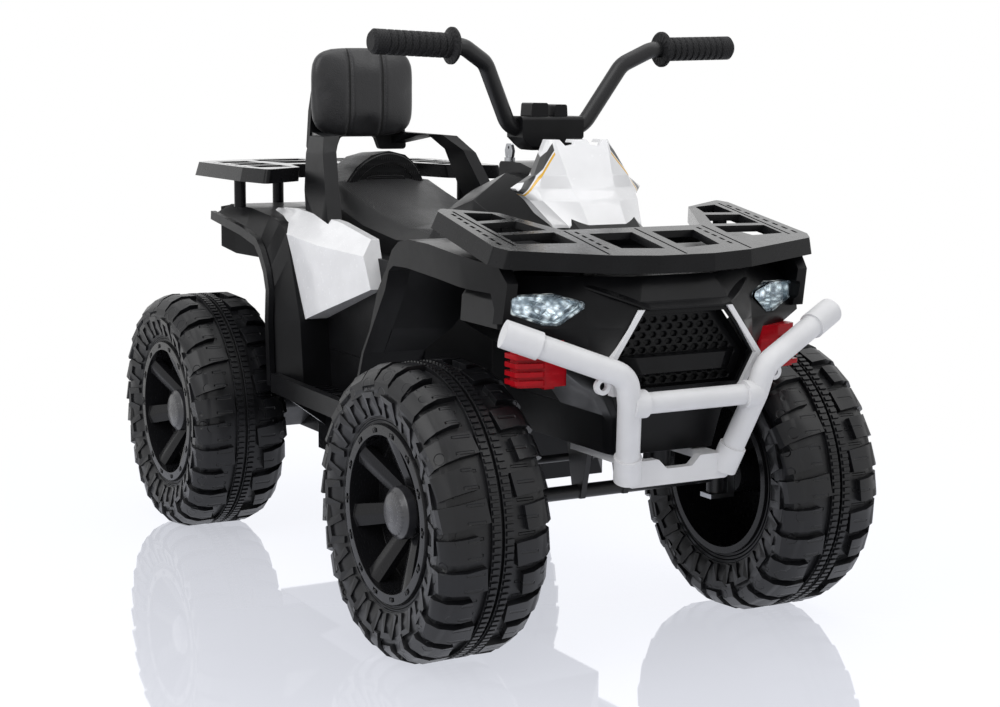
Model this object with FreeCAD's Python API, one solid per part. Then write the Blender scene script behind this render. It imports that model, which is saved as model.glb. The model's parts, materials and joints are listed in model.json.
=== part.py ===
import FreeCAD, Part
import math
import os

# Kids' electric quad bike, in millimetres. +X is forward, +Y is the rider's left, +Z is up.
# The origin lies on the ground under the middle of the bike, half way between the axles.

# Wheels
WHEELBASE = 765.0
TRACK = 485.0
TYRE_RADIUS = 180.0
TYRE_WIDTH = 140.0
LUG_HEIGHT = 8.0
LUG_PAIRS = 14
LUG_LENGTH = 28.0
LUG_SKEW = 8.0
LUG_SHOULDER_SHARE = 0.62
LUG_LONG_START = 18.0
LUG_LONG_REACH = 37.0
LUG_SHORT_START = 30.0
LUG_SHORT_REACH = 26.0
CENTRE_BAND_HALF = 14.0
CENTRE_BAND_DROP = 3.0
CENTRE_GROOVE_HALF = 2.0
BEAD_OVERLAP = 3.0
RIM_FLANGE_RADIUS = 109.0
RIM_SEAT_RADIUS = 100.0
RIM_WALL = 5.0
RIM_WIDTH = 126.0
SPOKES = 7
SPOKE_WIDTH = 28.0
SPOKE_DEPTH = 14.0
SPOKE_RIDGE = 3.0
SPOKE_ROOT_SHARE = 0.85
WEB_START = 17.0
WEB_END = 22.0
RIM_BACK_LIP = 4.0
RIM_SLOT_HALF = 6.0
RIM_SLOT_DEPTH = 2.0
HUB_RADIUS = 32.0
HUB_FACE = 34.0
HUB_INNER = 41.0
HUB_CAP_DEPTH = 20.0
STUB_DIAMETER = 12.0
REAR_AXLE_DIAMETER = 14.0
NUT_RADIUS = 11.0
NUT_HEIGHT = 9.0

# Fits
RUNNING_CLEARANCE = 0.05
SEAT_GAP = 0.3
PIN_PLAY = 0.6

# Steering
STEERING_RAKE = 19.8
KINGPIN_INSET = 64.5
KINGPIN_DIAMETER = 10.0
SLEEVE_DIAMETER = 22.0
SLEEVE_HEIGHT = 46.0
YOKE_PLATE = 6.0
YOKE_WIDTH = 24.0
ARM_LENGTH = 45.0
ARM_WIDTH = 18.0
ROD_DIAMETER = 10.0
ROD_EYE_DIAMETER = 20.0
ROD_PIN_DIAMETER = 8.0
AXLE_BEAM_DIAMETER = 18.0
COLUMN_DIAMETER = 14.0
CRANK_THICKNESS = 8.0
CRANK_DROP = 9.0
CLAMP_HEIGHT = 628.0
CLAMP_WIDTH = 92.0
CLAMP_DEPTH = 40.0
CLAMP_DROP = 27.0
CLAMP_NECK = 7.0
CLAMP_COVER = 6.0
CAP_RISE = 17.0
BAR_DIAMETER = 21.0
BAR_HALF_FLAT = 54.0
BAR_RISE = 103.0
BAR_SWEEP = 33.0
BAR_SHOULDER = 140.0
BAR_HALF_WIDTH = 262.0
BAR_BEND_RADIUS = 30.0
GRIP_LENGTH = 114.0
GRIP_DIAMETER = 31.0
GRIP_FLANGE_DIAMETER = 46.0
GRIP_RIBS = 9

# Chassis tub and centre body
TUB_BOTTOM = 145.0
TUB_RIM = 300.0
TUB_HALF = 140.0
TUB_WALL = 4.0
TUB_REAR = -480.0
TUB_REAR_HALF = 92.0
TUB_STEP_REAR = -205.0
TUB_STEP_FRONT = 170.0
STEP_RUN = 55.0
NECK_HALF = 70.0
NECK_FRONT = 440.0
NECK_CLEARANCE = 72.0
BODY_WALL = 4.0
BODY_REAR_TOP = 486.0
BODY_SADDLE_TOP = 446.0
BODY_FRONT_TOP = 470.0
BODY_FRONT = 400.0

# Footboards and pedal
BOARD_TOP = 245.0
BOARD_THICKNESS = 9.0
BOARD_REAR = -186.0
BOARD_FRONT = 150.0
BOARD_HALF = 228.0
RAIL_HEIGHT = 18.0
RAIL_WIDTH = 13.0
BOARD_RIB_PITCH = 16.0
PEDAL_LENGTH = 84.0
PEDAL_WIDTH = 44.0
PEDAL_THICKNESS = 7.0
PEDAL_TILT = 17.0
PEDAL_PIN_DIAMETER = 6.0
PEDAL_MIDDLE = 178.0
PEDAL_HEEL = 22.0

# Fenders, flares and covers
SKIN = 5.0
FENDER_HALF = 230.0
FENDER_EDGE = 30.0
FENDER_FRONT_HALF = 214.0
FLARE_HALF = 218.0
FLARE_INNER = 184.0
PANEL_WALL = 4.0
FASCIA_WALL = 4.0
SHROUD_WALL = 4.0
FAIRING_WALL = 4.0

# Front rack and rear rack
RACK_SLOPE = 10.9
RACK_BACK = 316.0
RACK_BACK_HEIGHT = 540.0
RACK_SKIRT = 21.0
RACK_DECK = 8.0
RACK_WALL = 5.0
RACK_FLARE = 0.028
RACK_CORNER = 6.0
POST_RADIUS = 9.0
REAR_RACK_TOP = 557.0

# Front bumper
BUMPER_TUBE = 28.0
BUMPER_SLEEVE = 33.0
BUMPER_NOSE = 584.0
BUMPER_BEND_LOSS = 1.5

# Seat and backrest
HUMP_HEIGHT = 582.0
HUMP_HALF = 73.0
SEAT_HALF = 102.0
PAD_HALF = 84.0
PAD_BOTTOM = 600.0
PAD_TOP = 738.0
PAD_FRONT = -298.0
PAD_THICKNESS = 34.0
PAD_CORNER = 34.0
BACKREST_PLATE = 11.0

FRONT_AXLE = WHEELBASE / 2
REAR_AXLE = -WHEELBASE / 2
WHEEL_HALF = TRACK / 2
KINGPIN_HALF = WHEEL_HALF - KINGPIN_INSET
NECK_FLOOR = TYRE_RADIUS + NECK_CLEARANCE
HUB_INNER_FACE = WHEEL_HALF - HUB_INNER
HUB_OUTER_FACE = WHEEL_HALF + HUB_FACE
BUMPER_FRONT = BUMPER_NOSE + BUMPER_TUBE / 2 - BUMPER_BEND_LOSS
TAIL_END = -BUMPER_FRONT

V = FreeCAD.Vector
X_AXIS = V(1, 0, 0)
Y_AXIS = V(0, 1, 0)
Z_AXIS = V(0, 0, 1)
ORIGIN = V(0, 0, 0)
FULL_TURN = 360.0


def in_space(axis, u, v, level):
    """Put profile point (u, v) at a level along the named axis."""
    if axis == "x":
        return V(level, u, v)
    if axis == "y":
        return V(u, level, v)
    return V(u, v, level)


def rounded_wire(points, radius):
    """Closed wire through points in space, its corners rounded with tangent arcs."""
    if radius == 0:
        return Part.makePolygon(points + points[:1])
    edges = []
    ends = []
    count = len(points)
    for index, corner in enumerate(points):
        before = points[index - 1] - corner
        after = points[(index + 1) % count] - corner
        half_angle = before.getAngle(after) / 2
        reach = radius / math.tan(half_angle)
        reach = min(reach, 0.45 * before.Length, 0.45 * after.Length)
        start = corner + before.normalize() * reach
        end = corner + after.normalize() * reach
        rounding = reach * math.tan(half_angle)
        inward = (before + after).normalize()
        middle = corner + inward * (rounding / math.sin(half_angle) - rounding)
        ends.append((start, middle, end))
    for index, (start, middle, end) in enumerate(ends):
        edges.append(Part.Arc(start, middle, end).toShape())
        edges.append(Part.LineSegment(end, ends[(index + 1) % count][0]).toShape())
    return Part.Wire(edges)


def prism(points, axis, start, end, radius=0.0):
    """Extrude a flat outline along an axis from one level to another."""
    wire = rounded_wire([in_space(axis, u, v, start) for u, v in points], radius)
    return Part.Face(wire).extrude(in_space(axis, 0, 0, end - start))


def box(x0, x1, y0, y1, z0, z1):
    """Box between two corners."""
    return Part.makeBox(x1 - x0, y1 - y0, z1 - z0, V(x0, y0, z0))


def rod(start, end, radius):
    """Round bar between two points."""
    return Part.makeCylinder(radius, (end - start).Length, start, end - start)


def ruled_loft(sections):
    """Straight-sided solid through polygons with equal point counts."""
    wires = [Part.makePolygon(points + points[:1]) for points in sections]
    return Part.makeLoft(wires, True, True)


def revolved(profile, start=ORIGIN, direction=Y_AXIS):
    """Turn an outline of (distance along the axis, radius) about an axis through start."""
    points = [V(radius, along, 0) for along, radius in profile]
    solid = Part.Face(Part.makePolygon(points + points[:1])).revolve(ORIGIN, Y_AXIS, FULL_TURN)
    solid.Placement = FreeCAD.Placement(start, FreeCAD.Rotation(Y_AXIS, direction))
    return solid


def tube_path(points, bend_radius):
    """Wire of straight runs joined by tangent arcs."""
    edges = []
    start = points[0]
    for index in range(1, len(points) - 1):
        corner = points[index]
        before = (points[index - 1] - corner).normalize()
        after = (points[index + 1] - corner).normalize()
        half_angle = before.getAngle(after) / 2
        reach = bend_radius / math.tan(half_angle)
        inward = (before + after).normalize()
        middle = corner + inward * (bend_radius / math.sin(half_angle) - bend_radius)
        edges.append(Part.LineSegment(start, corner + before * reach).toShape())
        start = corner + after * reach
        edges.append(Part.Arc(corner + before * reach, middle, start).toShape())
    edges.append(Part.LineSegment(start, points[-1]).toShape())
    return Part.Wire(edges)


def bent_tube(points, radius, bend_radius):
    """Round tube along straight runs joined by tangent arcs."""
    section = Part.Wire(Part.makeCircle(radius, points[0], points[1] - points[0]))
    return tube_path(points, bend_radius).makePipeShell([section], True, False)


def offset_line(points, distance):
    """Shift an open outline to the right of its direction, with mitred corners."""
    normals = []
    for first, second in zip(points, points[1:]):
        run = V(second[0] - first[0], second[1] - first[1], 0).normalize()
        normals.append(V(run.y, -run.x, 0))
    normals = normals[:1] + normals + normals[-1:]
    shifted = []
    for point, left, right in zip(points, normals, normals[1:]):
        mitre = (left + right) * (distance / (1 + left.dot(right)))
        shifted.append((point[0] + mitre.x, point[1] + mitre.y))
    return shifted


def band(points, thickness, lift=0.0):
    """Closed outline of a strip along an open line, thickened to the right."""
    return offset_line(points, -lift) + offset_line(points, thickness)[::-1]


def band_loft(first, first_level, second, second_level):
    """Solid between two strip outlines that lie in planes across the bike."""
    return ruled_loft([
        [in_space("y", u, v, first_level) for u, v in first],
        [in_space("y", u, v, second_level) for u, v in second],
    ])


def mirrored(shape):
    """Copy of a left-hand piece for the right-hand side."""
    return shape.mirror(ORIGIN, Y_AXIS)


def both_sides(half_outline):
    """Close a half outline given on the left, in (length, width), by its mirror image."""
    return half_outline + [(u, -v) for u, v in half_outline[::-1]]


def moved(shape, x, y, z):
    """Copy of a shape at another place."""
    copy = shape.copy()
    copy.translate(V(x, y, z))
    return copy


def turned(shape, axis, angle, centre=ORIGIN):
    """Copy of a shape turned about an axis."""
    copy = shape.copy()
    copy.rotate(centre, axis, angle)
    return copy


# Wheels, modelled with the outer face towards +Y and set in place by wheel_place

BEAD_HALF = RIM_WIDTH / 2 - RIM_WALL
CARCASS_RADIUS = TYRE_RADIUS - LUG_HEIGHT
LUG_SHOULDER = LUG_SHOULDER_SHARE * TYRE_WIDTH / 2
LUG_TURN = math.radians(LUG_SKEW)
LUG_CORNER = LUG_SHOULDER * math.sin(LUG_TURN) + LUG_LENGTH / 2 * math.cos(LUG_TURN)
LUG_TOP = math.sqrt(TYRE_RADIUS ** 2 - LUG_CORNER ** 2)


def shoulder_lug(inner, reach, turn, side):
    """Tread block that runs from beside the centre band over the shoulder."""
    half = TYRE_WIDTH / 2
    foot = CARCASS_RADIUS - 2 * LUG_HEIGHT
    profile = [
        (inner, CARCASS_RADIUS - LUG_HEIGHT),
        (inner, LUG_TOP),
        (LUG_SHOULDER, LUG_TOP),
        (half * 0.86, TYRE_RADIUS - LUG_HEIGHT),
        (half + 1, foot + LUG_HEIGHT / 2),
        (half + 2, reach),
        (half - LUG_HEIGHT, reach - LUG_HEIGHT / 2),
        (half * 0.8, foot),
    ]
    block = prism(profile, "x", -LUG_LENGTH / 2, LUG_LENGTH / 2)
    block = turned(block, Z_AXIS, side * LUG_SKEW)
    if side < 0:
        block = mirrored(block)
    return turned(block, Y_AXIS, turn)


def tyre():
    """Foam tyre with a rounded carcass, a centre band and two rows of shoulder lugs."""
    half = TYRE_WIDTH / 2
    band_top = TYRE_RADIUS - CENTRE_BAND_DROP
    side = [
        (BEAD_HALF, RIM_SEAT_RADIUS),
        (BEAD_HALF, RIM_FLANGE_RADIUS + BEAD_OVERLAP),
        (half - 3, RIM_FLANGE_RADIUS + 22),
        (half - 1, TYRE_RADIUS - 4 * LUG_HEIGHT),
        (half - 7, TYRE_RADIUS - 2 * LUG_HEIGHT),
        (half * 0.6, CARCASS_RADIUS - 1),
        (CENTRE_BAND_HALF, CARCASS_RADIUS),
        (CENTRE_BAND_HALF, band_top),
        (CENTRE_GROOVE_HALF, band_top),
        (CENTRE_GROOVE_HALF, CARCASS_RADIUS),
    ]
    profile = side + [(-along, radius) for along, radius in side[::-1]]
    carcass = revolved(profile)
    pitch = FULL_TURN / (2 * LUG_PAIRS)
    lugs = []
    for index in range(2 * LUG_PAIRS):
        long_lug = index % 2 == 0
        inner = LUG_LONG_START if long_lug else LUG_SHORT_START
        reach = TYRE_RADIUS - (LUG_LONG_REACH if long_lug else LUG_SHORT_REACH)
        lugs.append(shoulder_lug(inner, reach, index * pitch, 1))
        lugs.append(shoulder_lug(inner, reach, (index + 0.5) * pitch, -1))
    return carcass.multiFuse(lugs)


def spoke(turn):
    """Ridged spoke that climbs from the recessed hub out to the rim flange."""
    half = SPOKE_WIDTH / 2
    root = HUB_RADIUS - 6
    tip = RIM_SEAT_RADIUS - RIM_WALL + 1
    root_face = HUB_FACE - 5
    tip_face = RIM_WIDTH / 2 - 4

    def section(height, face, half_width):
        return [
            V(-half_width, face - SPOKE_DEPTH, height),
            V(-half_width, face - SPOKE_RIDGE, height),
            V(0, face, height),
            V(half_width, face - SPOKE_RIDGE, height),
            V(half_width, face - SPOKE_DEPTH, height),
        ]

    solid = ruled_loft([section(root, root_face, half * SPOKE_ROOT_SHARE), section(tip, tip_face, half)])
    return turned(solid, Y_AXIS, turn)


def rim(bore):
    """Moulded wheel: barrel with flanges, closed web, hub and ridged spokes."""
    half = RIM_WIDTH / 2
    inside = RIM_SEAT_RADIUS - RIM_WALL
    back_lip = RIM_SEAT_RADIUS + RIM_BACK_LIP
    barrel = revolved([
        (-half, inside),
        (-half, back_lip),
        (-BEAD_HALF, back_lip),
        (-BEAD_HALF, RIM_SEAT_RADIUS),
        (BEAD_HALF, RIM_SEAT_RADIUS),
        (BEAD_HALF, RIM_FLANGE_RADIUS),
        (half, RIM_FLANGE_RADIUS - 2),
        (half, inside),
    ])
    web = revolved([(WEB_START, bore), (WEB_END, bore), (WEB_END, inside + 1), (WEB_START, inside + 1)])
    hub = revolved([
        (-HUB_INNER, bore),
        (-HUB_INNER, HUB_RADIUS - 7),
        (HUB_FACE, HUB_RADIUS),
        (HUB_FACE, bore),
    ])
    spokes = [spoke(index * FULL_TURN / SPOKES) for index in range(SPOKES)]
    axle_hole = Part.makeCylinder(bore, TYRE_WIDTH, V(0, -TYRE_WIDTH / 2, 0), Y_AXIS)
    wheel = barrel.multiFuse([web, hub] + spokes).cut(axle_hole)
    slots = []
    for index in range(2 * SPOKES):
        slot = box(-RIM_SLOT_HALF, RIM_SLOT_HALF, half - RIM_SLOT_DEPTH, half + RIM_SLOT_DEPTH, inside + 3,
                   RIM_SEAT_RADIUS + 3)
        slots.append(turned(slot, Y_AXIS, (index + 0.5) * FULL_TURN / (2 * SPOKES)))
    return wheel.cut(Part.makeCompound(slots))


HUB_CAP_WALL = 5.0


def hub_cap():
    """Domed cap over the axle nut, seated on the hub face."""
    outer = HUB_RADIUS
    inner = HUB_RADIUS - HUB_CAP_WALL
    top = HUB_FACE + HUB_CAP_DEPTH
    flat = outer - 22
    return revolved([
        (HUB_FACE, inner),
        (HUB_FACE, outer),
        (top - 9, outer),
        (top - 3, outer - 8),
        (top, flat),
        (top, 0),
        (top - 4, 0),
        (top - 4, flat),
        (top - 7, inner - 5),
        (top - 10, inner),
    ])


def wheel_place(shape, x, side):
    """Set a wheel piece on its axle, outer face to the left (+1) or to the right (-1)."""
    if side < 0:
        shape = turned(shape, Z_AXIS, FULL_TURN / 2)
    return moved(shape, x, side * WHEEL_HALF, TYRE_RADIUS)


def axle_nut(x, side, thread):
    """Hexagon nut that keeps a wheel on its axle."""
    corners = []
    for index in range(6):
        turn = math.radians(60 * index)
        corners.append((x + NUT_RADIUS * math.cos(turn), TYRE_RADIUS + NUT_RADIUS * math.sin(turn)))
    start = HUB_OUTER_FACE + SEAT_GAP
    nut = prism(corners, "y", start, start + NUT_HEIGHT)
    hole = rod(V(x, 0, TYRE_RADIUS), V(x, HUB_OUTER_FACE * 2, TYRE_RADIUS), thread / 2)
    nut = nut.cut(hole)
    return nut if side > 0 else mirrored(nut)


# Steering

SLEEVE_BOTTOM = TYRE_RADIUS - SLEEVE_HEIGHT / 2
SLEEVE_TOP = TYRE_RADIUS + SLEEVE_HEIGHT / 2
YOKE_TOP = SLEEVE_TOP + SEAT_GAP + YOKE_PLATE
ROD_BOTTOM = YOKE_TOP + SEAT_GAP
ROD_HEIGHT = ROD_BOTTOM + ROD_DIAMETER / 2
ROD_X = FRONT_AXLE - ARM_LENGTH
RAKE = math.radians(STEERING_RAKE)
COLUMN_UP = V(-math.sin(RAKE), 0, math.cos(RAKE))
CRANK_BACK = V(-math.cos(RAKE), 0, -math.sin(RAKE))
CRANK_PIN = V(ROD_X, 0, ROD_HEIGHT)
CRANK_TIP = CRANK_PIN + COLUMN_UP * (ROD_DIAMETER / 2 + CRANK_DROP)
COLUMN_FOOT = CRANK_TIP - CRANK_BACK * ARM_LENGTH
CLAMP = COLUMN_FOOT + COLUMN_UP * ((CLAMP_HEIGHT - COLUMN_FOOT.z) / COLUMN_UP.z)


def knuckle():
    """Left steering knuckle: yoke, kingpin, stub axle and steering arm in one forging."""
    inner = KINGPIN_HALF - SLEEVE_DIAMETER / 2 - 3
    outer = HUB_INNER_FACE - SEAT_GAP
    web = KINGPIN_HALF + SLEEVE_DIAMETER / 2 + 1
    bottom = SLEEVE_BOTTOM - SEAT_GAP - YOKE_PLATE
    profile = [
        (inner, bottom),
        (outer, bottom),
        (outer, YOKE_TOP),
        (inner, YOKE_TOP),
        (inner, YOKE_TOP - YOKE_PLATE),
        (web, YOKE_TOP - YOKE_PLATE),
        (web, bottom + YOKE_PLATE),
        (inner, bottom + YOKE_PLATE),
    ]
    yoke = prism(profile, "x", FRONT_AXLE - YOKE_WIDTH / 2, FRONT_AXLE + YOKE_WIDTH / 2)
    pin_top = V(FRONT_AXLE, KINGPIN_HALF, YOKE_TOP + 3)
    kingpin = rod(V(FRONT_AXLE, KINGPIN_HALF, bottom), pin_top, KINGPIN_DIAMETER / 2)
    stub_start = V(FRONT_AXLE, web, TYRE_RADIUS)
    stub_end = V(FRONT_AXLE, HUB_OUTER_FACE + SEAT_GAP + NUT_HEIGHT + 2, TYRE_RADIUS)
    stub = rod(stub_start, stub_end, STUB_DIAMETER / 2)
    arm_outline = [
        (ROD_X - ARM_WIDTH / 2, KINGPIN_HALF - ARM_WIDTH / 2),
        (FRONT_AXLE, KINGPIN_HALF - ARM_WIDTH / 2),
        (FRONT_AXLE, KINGPIN_HALF + ARM_WIDTH / 2),
        (ROD_X - ARM_WIDTH / 2, KINGPIN_HALF + ARM_WIDTH / 2),
    ]
    arm = prism(arm_outline, "z", YOKE_TOP - YOKE_PLATE, YOKE_TOP, ARM_WIDTH / 3)
    pin = rod(V(ROD_X, KINGPIN_HALF, YOKE_TOP - 1), V(ROD_X, KINGPIN_HALF, ROD_BOTTOM + ROD_DIAMETER + 4),
              ROD_PIN_DIAMETER / 2)
    return yoke.multiFuse([kingpin, stub, arm, pin])


def front_axle_beam():
    """Tube across the bike with a kingpin sleeve at each end and a bracket up to the neck."""
    beam = rod(V(FRONT_AXLE, -KINGPIN_HALF, TYRE_RADIUS), V(FRONT_AXLE, KINGPIN_HALF, TYRE_RADIUS),
               AXLE_BEAM_DIAMETER / 2)
    pieces = []
    holes = []
    for side in (1, -1):
        foot = V(FRONT_AXLE, side * KINGPIN_HALF, SLEEVE_BOTTOM)
        head = V(FRONT_AXLE, side * KINGPIN_HALF, SLEEVE_TOP)
        pieces.append(rod(foot, head, SLEEVE_DIAMETER / 2))
        holes.append(rod(foot, head, KINGPIN_DIAMETER / 2 + RUNNING_CLEARANCE))
        inside = side * (ARM_LENGTH * 0.62)
        outside = inside + side * 8
        leg = [
            (FRONT_AXLE - 9, TYRE_RADIUS - 8),
            (FRONT_AXLE + 9, TYRE_RADIUS - 8),
            (FRONT_AXLE + 26, NECK_FLOOR - 8),
            (FRONT_AXLE + 26, NECK_FLOOR),
            (FRONT_AXLE - 26, NECK_FLOOR),
            (FRONT_AXLE - 26, NECK_FLOOR - 8),
        ]
        pieces.append(prism(leg, "y", min(inside, outside), max(inside, outside)))
    return beam.multiFuse(pieces).cut(Part.makeCompound(holes))


def tie_rod():
    """Bar between the steering arms, with an eye at each end and a drilled plate in the middle."""
    top = ROD_BOTTOM + ROD_DIAMETER
    bar = rod(V(ROD_X, -KINGPIN_HALF, ROD_HEIGHT), V(ROD_X, KINGPIN_HALF, ROD_HEIGHT), ROD_DIAMETER / 2)
    eyes = []
    holes = []
    for side in (1, -1):
        foot = V(ROD_X, side * KINGPIN_HALF, ROD_BOTTOM)
        head = V(ROD_X, side * KINGPIN_HALF, top)
        eyes.append(rod(foot, head, ROD_EYE_DIAMETER / 2))
        holes.append(rod(foot, head, ROD_PIN_DIAMETER / 2 + RUNNING_CLEARANCE))
    middle = rod(V(ROD_X, 0, ROD_BOTTOM), V(ROD_X, 0, top), ROD_EYE_DIAMETER / 2 + 4)
    reach = COLUMN_UP * (ROD_DIAMETER * 2)
    holes.append(rod(CRANK_PIN - reach, CRANK_PIN + reach, ROD_PIN_DIAMETER / 2 + PIN_PLAY))
    return bar.multiFuse(eyes + [middle]).cut(Part.makeCompound(holes))


COLUMN_HEAD = CLAMP - COLUMN_UP * (BAR_DIAMETER / 2 + 3)


def steering_column():
    """Raked rod with a crank at its foot, whose pin moves the tie rod."""
    shaft = rod(COLUMN_FOOT - COLUMN_UP * (CRANK_THICKNESS / 2), COLUMN_HEAD, COLUMN_DIAMETER / 2)
    crank_under = CRANK_TIP - COLUMN_UP * (CRANK_THICKNESS / 2)
    half = ARM_WIDTH / 2
    across = Y_AXIS * half
    tip = crank_under + CRANK_BACK * half
    root = crank_under - CRANK_BACK * (ARM_LENGTH + half)
    outline = [tip + across, tip - across, root - across, root + across]
    crank = Part.Face(rounded_wire(outline, half * 0.8)).extrude(COLUMN_UP * CRANK_THICKNESS)
    pin = rod(CRANK_TIP, CRANK_PIN - COLUMN_UP * (ROD_DIAMETER / 2), ROD_PIN_DIAMETER / 2)
    return shaft.multiFuse([crank, pin])


def bar_points():
    """Corner points of the left half of the handlebar, from the clamp outwards."""
    return [
        CLAMP + V(0, BAR_HALF_FLAT, 0),
        CLAMP + V(BAR_SWEEP * 0.64, BAR_SHOULDER - 38, BAR_RISE - 20),
        CLAMP + V(BAR_SWEEP, BAR_SHOULDER, BAR_RISE),
        CLAMP + V(BAR_SWEEP, BAR_HALF_WIDTH, BAR_RISE + 4),
    ]


def handlebar():
    """Bent tube from grip end to grip end."""
    left = bar_points()
    right = [V(point.x, -point.y, point.z) for point in left[::-1]]
    return bent_tube(right + left, BAR_DIAMETER / 2, BAR_BEND_RADIUS)


CLAMP_CORNER = 6.0
CLAMP_CAPS = ((-4, -30, CAP_RISE), (5, 25, CAP_RISE - 2))


def handlebar_clamp():
    """Boat-shaped block that holds the bar on the column, with a neck below and two raised caps."""
    half = CLAMP_WIDTH / 2
    depth = CLAMP_DEPTH / 2
    back = CLAMP.x - depth
    front = CLAMP.x + depth
    bottom = CLAMP.z - CLAMP_DROP
    waist = CLAMP.z - BAR_DIAMETER / 2
    top = CLAMP.z + BAR_DIAMETER / 2 + CLAMP_COVER
    side_outline = [(back, bottom), (front, bottom), (front, top), (back, top)]
    side_view = prism(side_outline, "y", -half, half, CLAMP_CORNER)
    front_view = prism([(-half * 0.6, bottom), (half * 0.6, bottom), (half, waist), (half, top), (-half, top),
                        (-half, waist)], "x", back, front)
    caps = []
    for inner, outer, rise in CLAMP_CAPS:
        outline = [(inner, top - 2), (outer, top - 2), (outer * 0.95, top + rise), (inner * 1.2, top + rise)]
        caps.append(prism(outline, "x", CLAMP.x - depth * 0.7, CLAMP.x + depth * 0.7, CLAMP_CORNER / 2))
    neck_foot = CLAMP - COLUMN_UP * (CLAMP_DROP + CLAMP_NECK)
    neck = rod(neck_foot, CLAMP - COLUMN_UP * CLAMP_DROP * 0.9, COLUMN_DIAMETER)
    column_hole = rod(CLAMP - COLUMN_UP * CLAMP_WIDTH, COLUMN_HEAD, COLUMN_DIAMETER / 2)
    return side_view.common(front_view).multiFuse(caps + [neck]).cut(handlebar()).cut(column_hole)


GRIP_END_WALL = 5.0
GRIP_PLAIN_END = 14.0
GRIP_GROOVE = 1.5


def grip():
    """Left rubber grip: ribbed sleeve with a flange at its inner end and a closed outer end."""
    points = bar_points()
    outward = (points[3] - points[2]).normalize()
    start = points[3] - outward * (GRIP_LENGTH - GRIP_END_WALL)
    bore = BAR_DIAMETER / 2
    body = GRIP_DIAMETER / 2
    flange = GRIP_FLANGE_DIAMETER / 2
    profile = [(0, bore), (0, flange - 2), (2, flange), (5, flange), (8, body)]
    pitch = (GRIP_LENGTH - 2 * GRIP_PLAIN_END) / GRIP_RIBS
    for index in range(GRIP_RIBS):
        along = GRIP_PLAIN_END + index * pitch
        profile += [(along, body), (along + pitch * 0.2, body - GRIP_GROOVE), (along + pitch * 0.4, body)]
    profile += [(GRIP_LENGTH - 4, body), (GRIP_LENGTH, body - 4), (GRIP_LENGTH, 0)]
    profile += [(GRIP_LENGTH - GRIP_END_WALL, 0), (GRIP_LENGTH - GRIP_END_WALL, bore)]
    return revolved(profile, start, outward)


# Chassis tub and what it carries

def plan_outline(rear_half, middle_half, neck_half, rear, front, inset):
    """Plan of the tub or body: a wide middle with a narrower rear and a slim neck in front."""
    half = [
        (rear + inset, rear_half - inset),
        (TUB_STEP_REAR - inset, rear_half - inset),
        (TUB_STEP_REAR + STEP_RUN / 2 - inset, middle_half - inset),
        (TUB_STEP_FRONT - inset / 2, middle_half - inset),
        (TUB_STEP_FRONT + STEP_RUN - inset / 2, neck_half - inset),
        (front - inset, neck_half - inset),
    ]
    return both_sides(half)


def tub_volume(inset):
    """Tub without its hollow; an inset makes the hollow itself."""
    outline = plan_outline(TUB_REAR_HALF, TUB_HALF, NECK_HALF, TUB_REAR, NECK_FRONT, inset)
    plan = prism(outline, "z", 0, TUB_RIM + inset)
    side = prism([
        (TUB_REAR - 1, TUB_RIM + 1 + inset),
        (TUB_REAR - 1, TUB_BOTTOM + 45 + inset),
        (TUB_REAR + 40, TUB_BOTTOM + inset),
        (TUB_STEP_FRONT - inset / 2, TUB_BOTTOM + inset),
        (TUB_STEP_FRONT + STEP_RUN - inset / 2, NECK_FLOOR + inset),
        (NECK_FRONT + 1, NECK_FLOOR + inset),
        (NECK_FRONT + 1, TUB_RIM + 1 + inset),
    ], "y", -TUB_HALF, TUB_HALF)
    return plan.common(side)


def column_passage(radius):
    """Round hole along the steering column."""
    return rod(COLUMN_FOOT, CLAMP, radius)


def axle_passage(radius):
    """Round hole along the rear axle."""
    return rod(V(REAR_AXLE, -TRACK, TYRE_RADIUS), V(REAR_AXLE, TRACK, TYRE_RADIUS), radius)


FLOOR_RIBS = (-150, -100, 110, 150)
FLOOR_RIB_TOP = 22.0
COLUMN_ROOM = 4.0


def chassis_tub():
    """Open tray with a raised neck, drilled for the rear axle and the steering column."""
    ribs = []
    for x in FLOOR_RIBS:
        rib_top = TUB_BOTTOM + FLOOR_RIB_TOP
        ribs.append(box(x, x + TUB_WALL, -TUB_HALF + 2, TUB_HALF - 2, TUB_BOTTOM + 2, rib_top))
    shell = tub_volume(0).cut(tub_volume(TUB_WALL)).multiFuse(ribs)
    shell = shell.cut(axle_passage(REAR_AXLE_DIAMETER / 2 + RUNNING_CLEARANCE))
    return shell.cut(column_passage(COLUMN_DIAMETER / 2 + COLUMN_ROOM))


def body_volume(inset):
    """Centre body between tub rim and seat; an inset makes its hollow."""
    outline = plan_outline(TUB_REAR_HALF, TUB_HALF, NECK_HALF, TUB_REAR, BODY_FRONT, inset)
    plan = prism(outline, "z", TUB_RIM - inset, BODY_REAR_TOP + TUB_HALF)
    side = prism([
        (TUB_REAR - 1, TUB_RIM - inset),
        (BODY_FRONT + 1, TUB_RIM - inset),
        (BODY_FRONT + 1, BODY_FRONT_TOP - inset),
        (150, BODY_FRONT_TOP - inset),
        (80, BODY_SADDLE_TOP - inset),
        (-60, BODY_SADDLE_TOP - inset),
        (-200, BODY_REAR_TOP - inset),
        (TUB_REAR - 1, BODY_REAR_TOP - inset),
    ], "y", -TUB_HALF, TUB_HALF)
    return plan.common(side)


def centre_body():
    """Inverted tray that closes the tub and carries the seat, covers and racks."""
    shell = body_volume(0).cut(body_volume(BODY_WALL))
    return shell.cut(column_passage(COLUMN_DIAMETER / 2 + COLUMN_ROOM))


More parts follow.
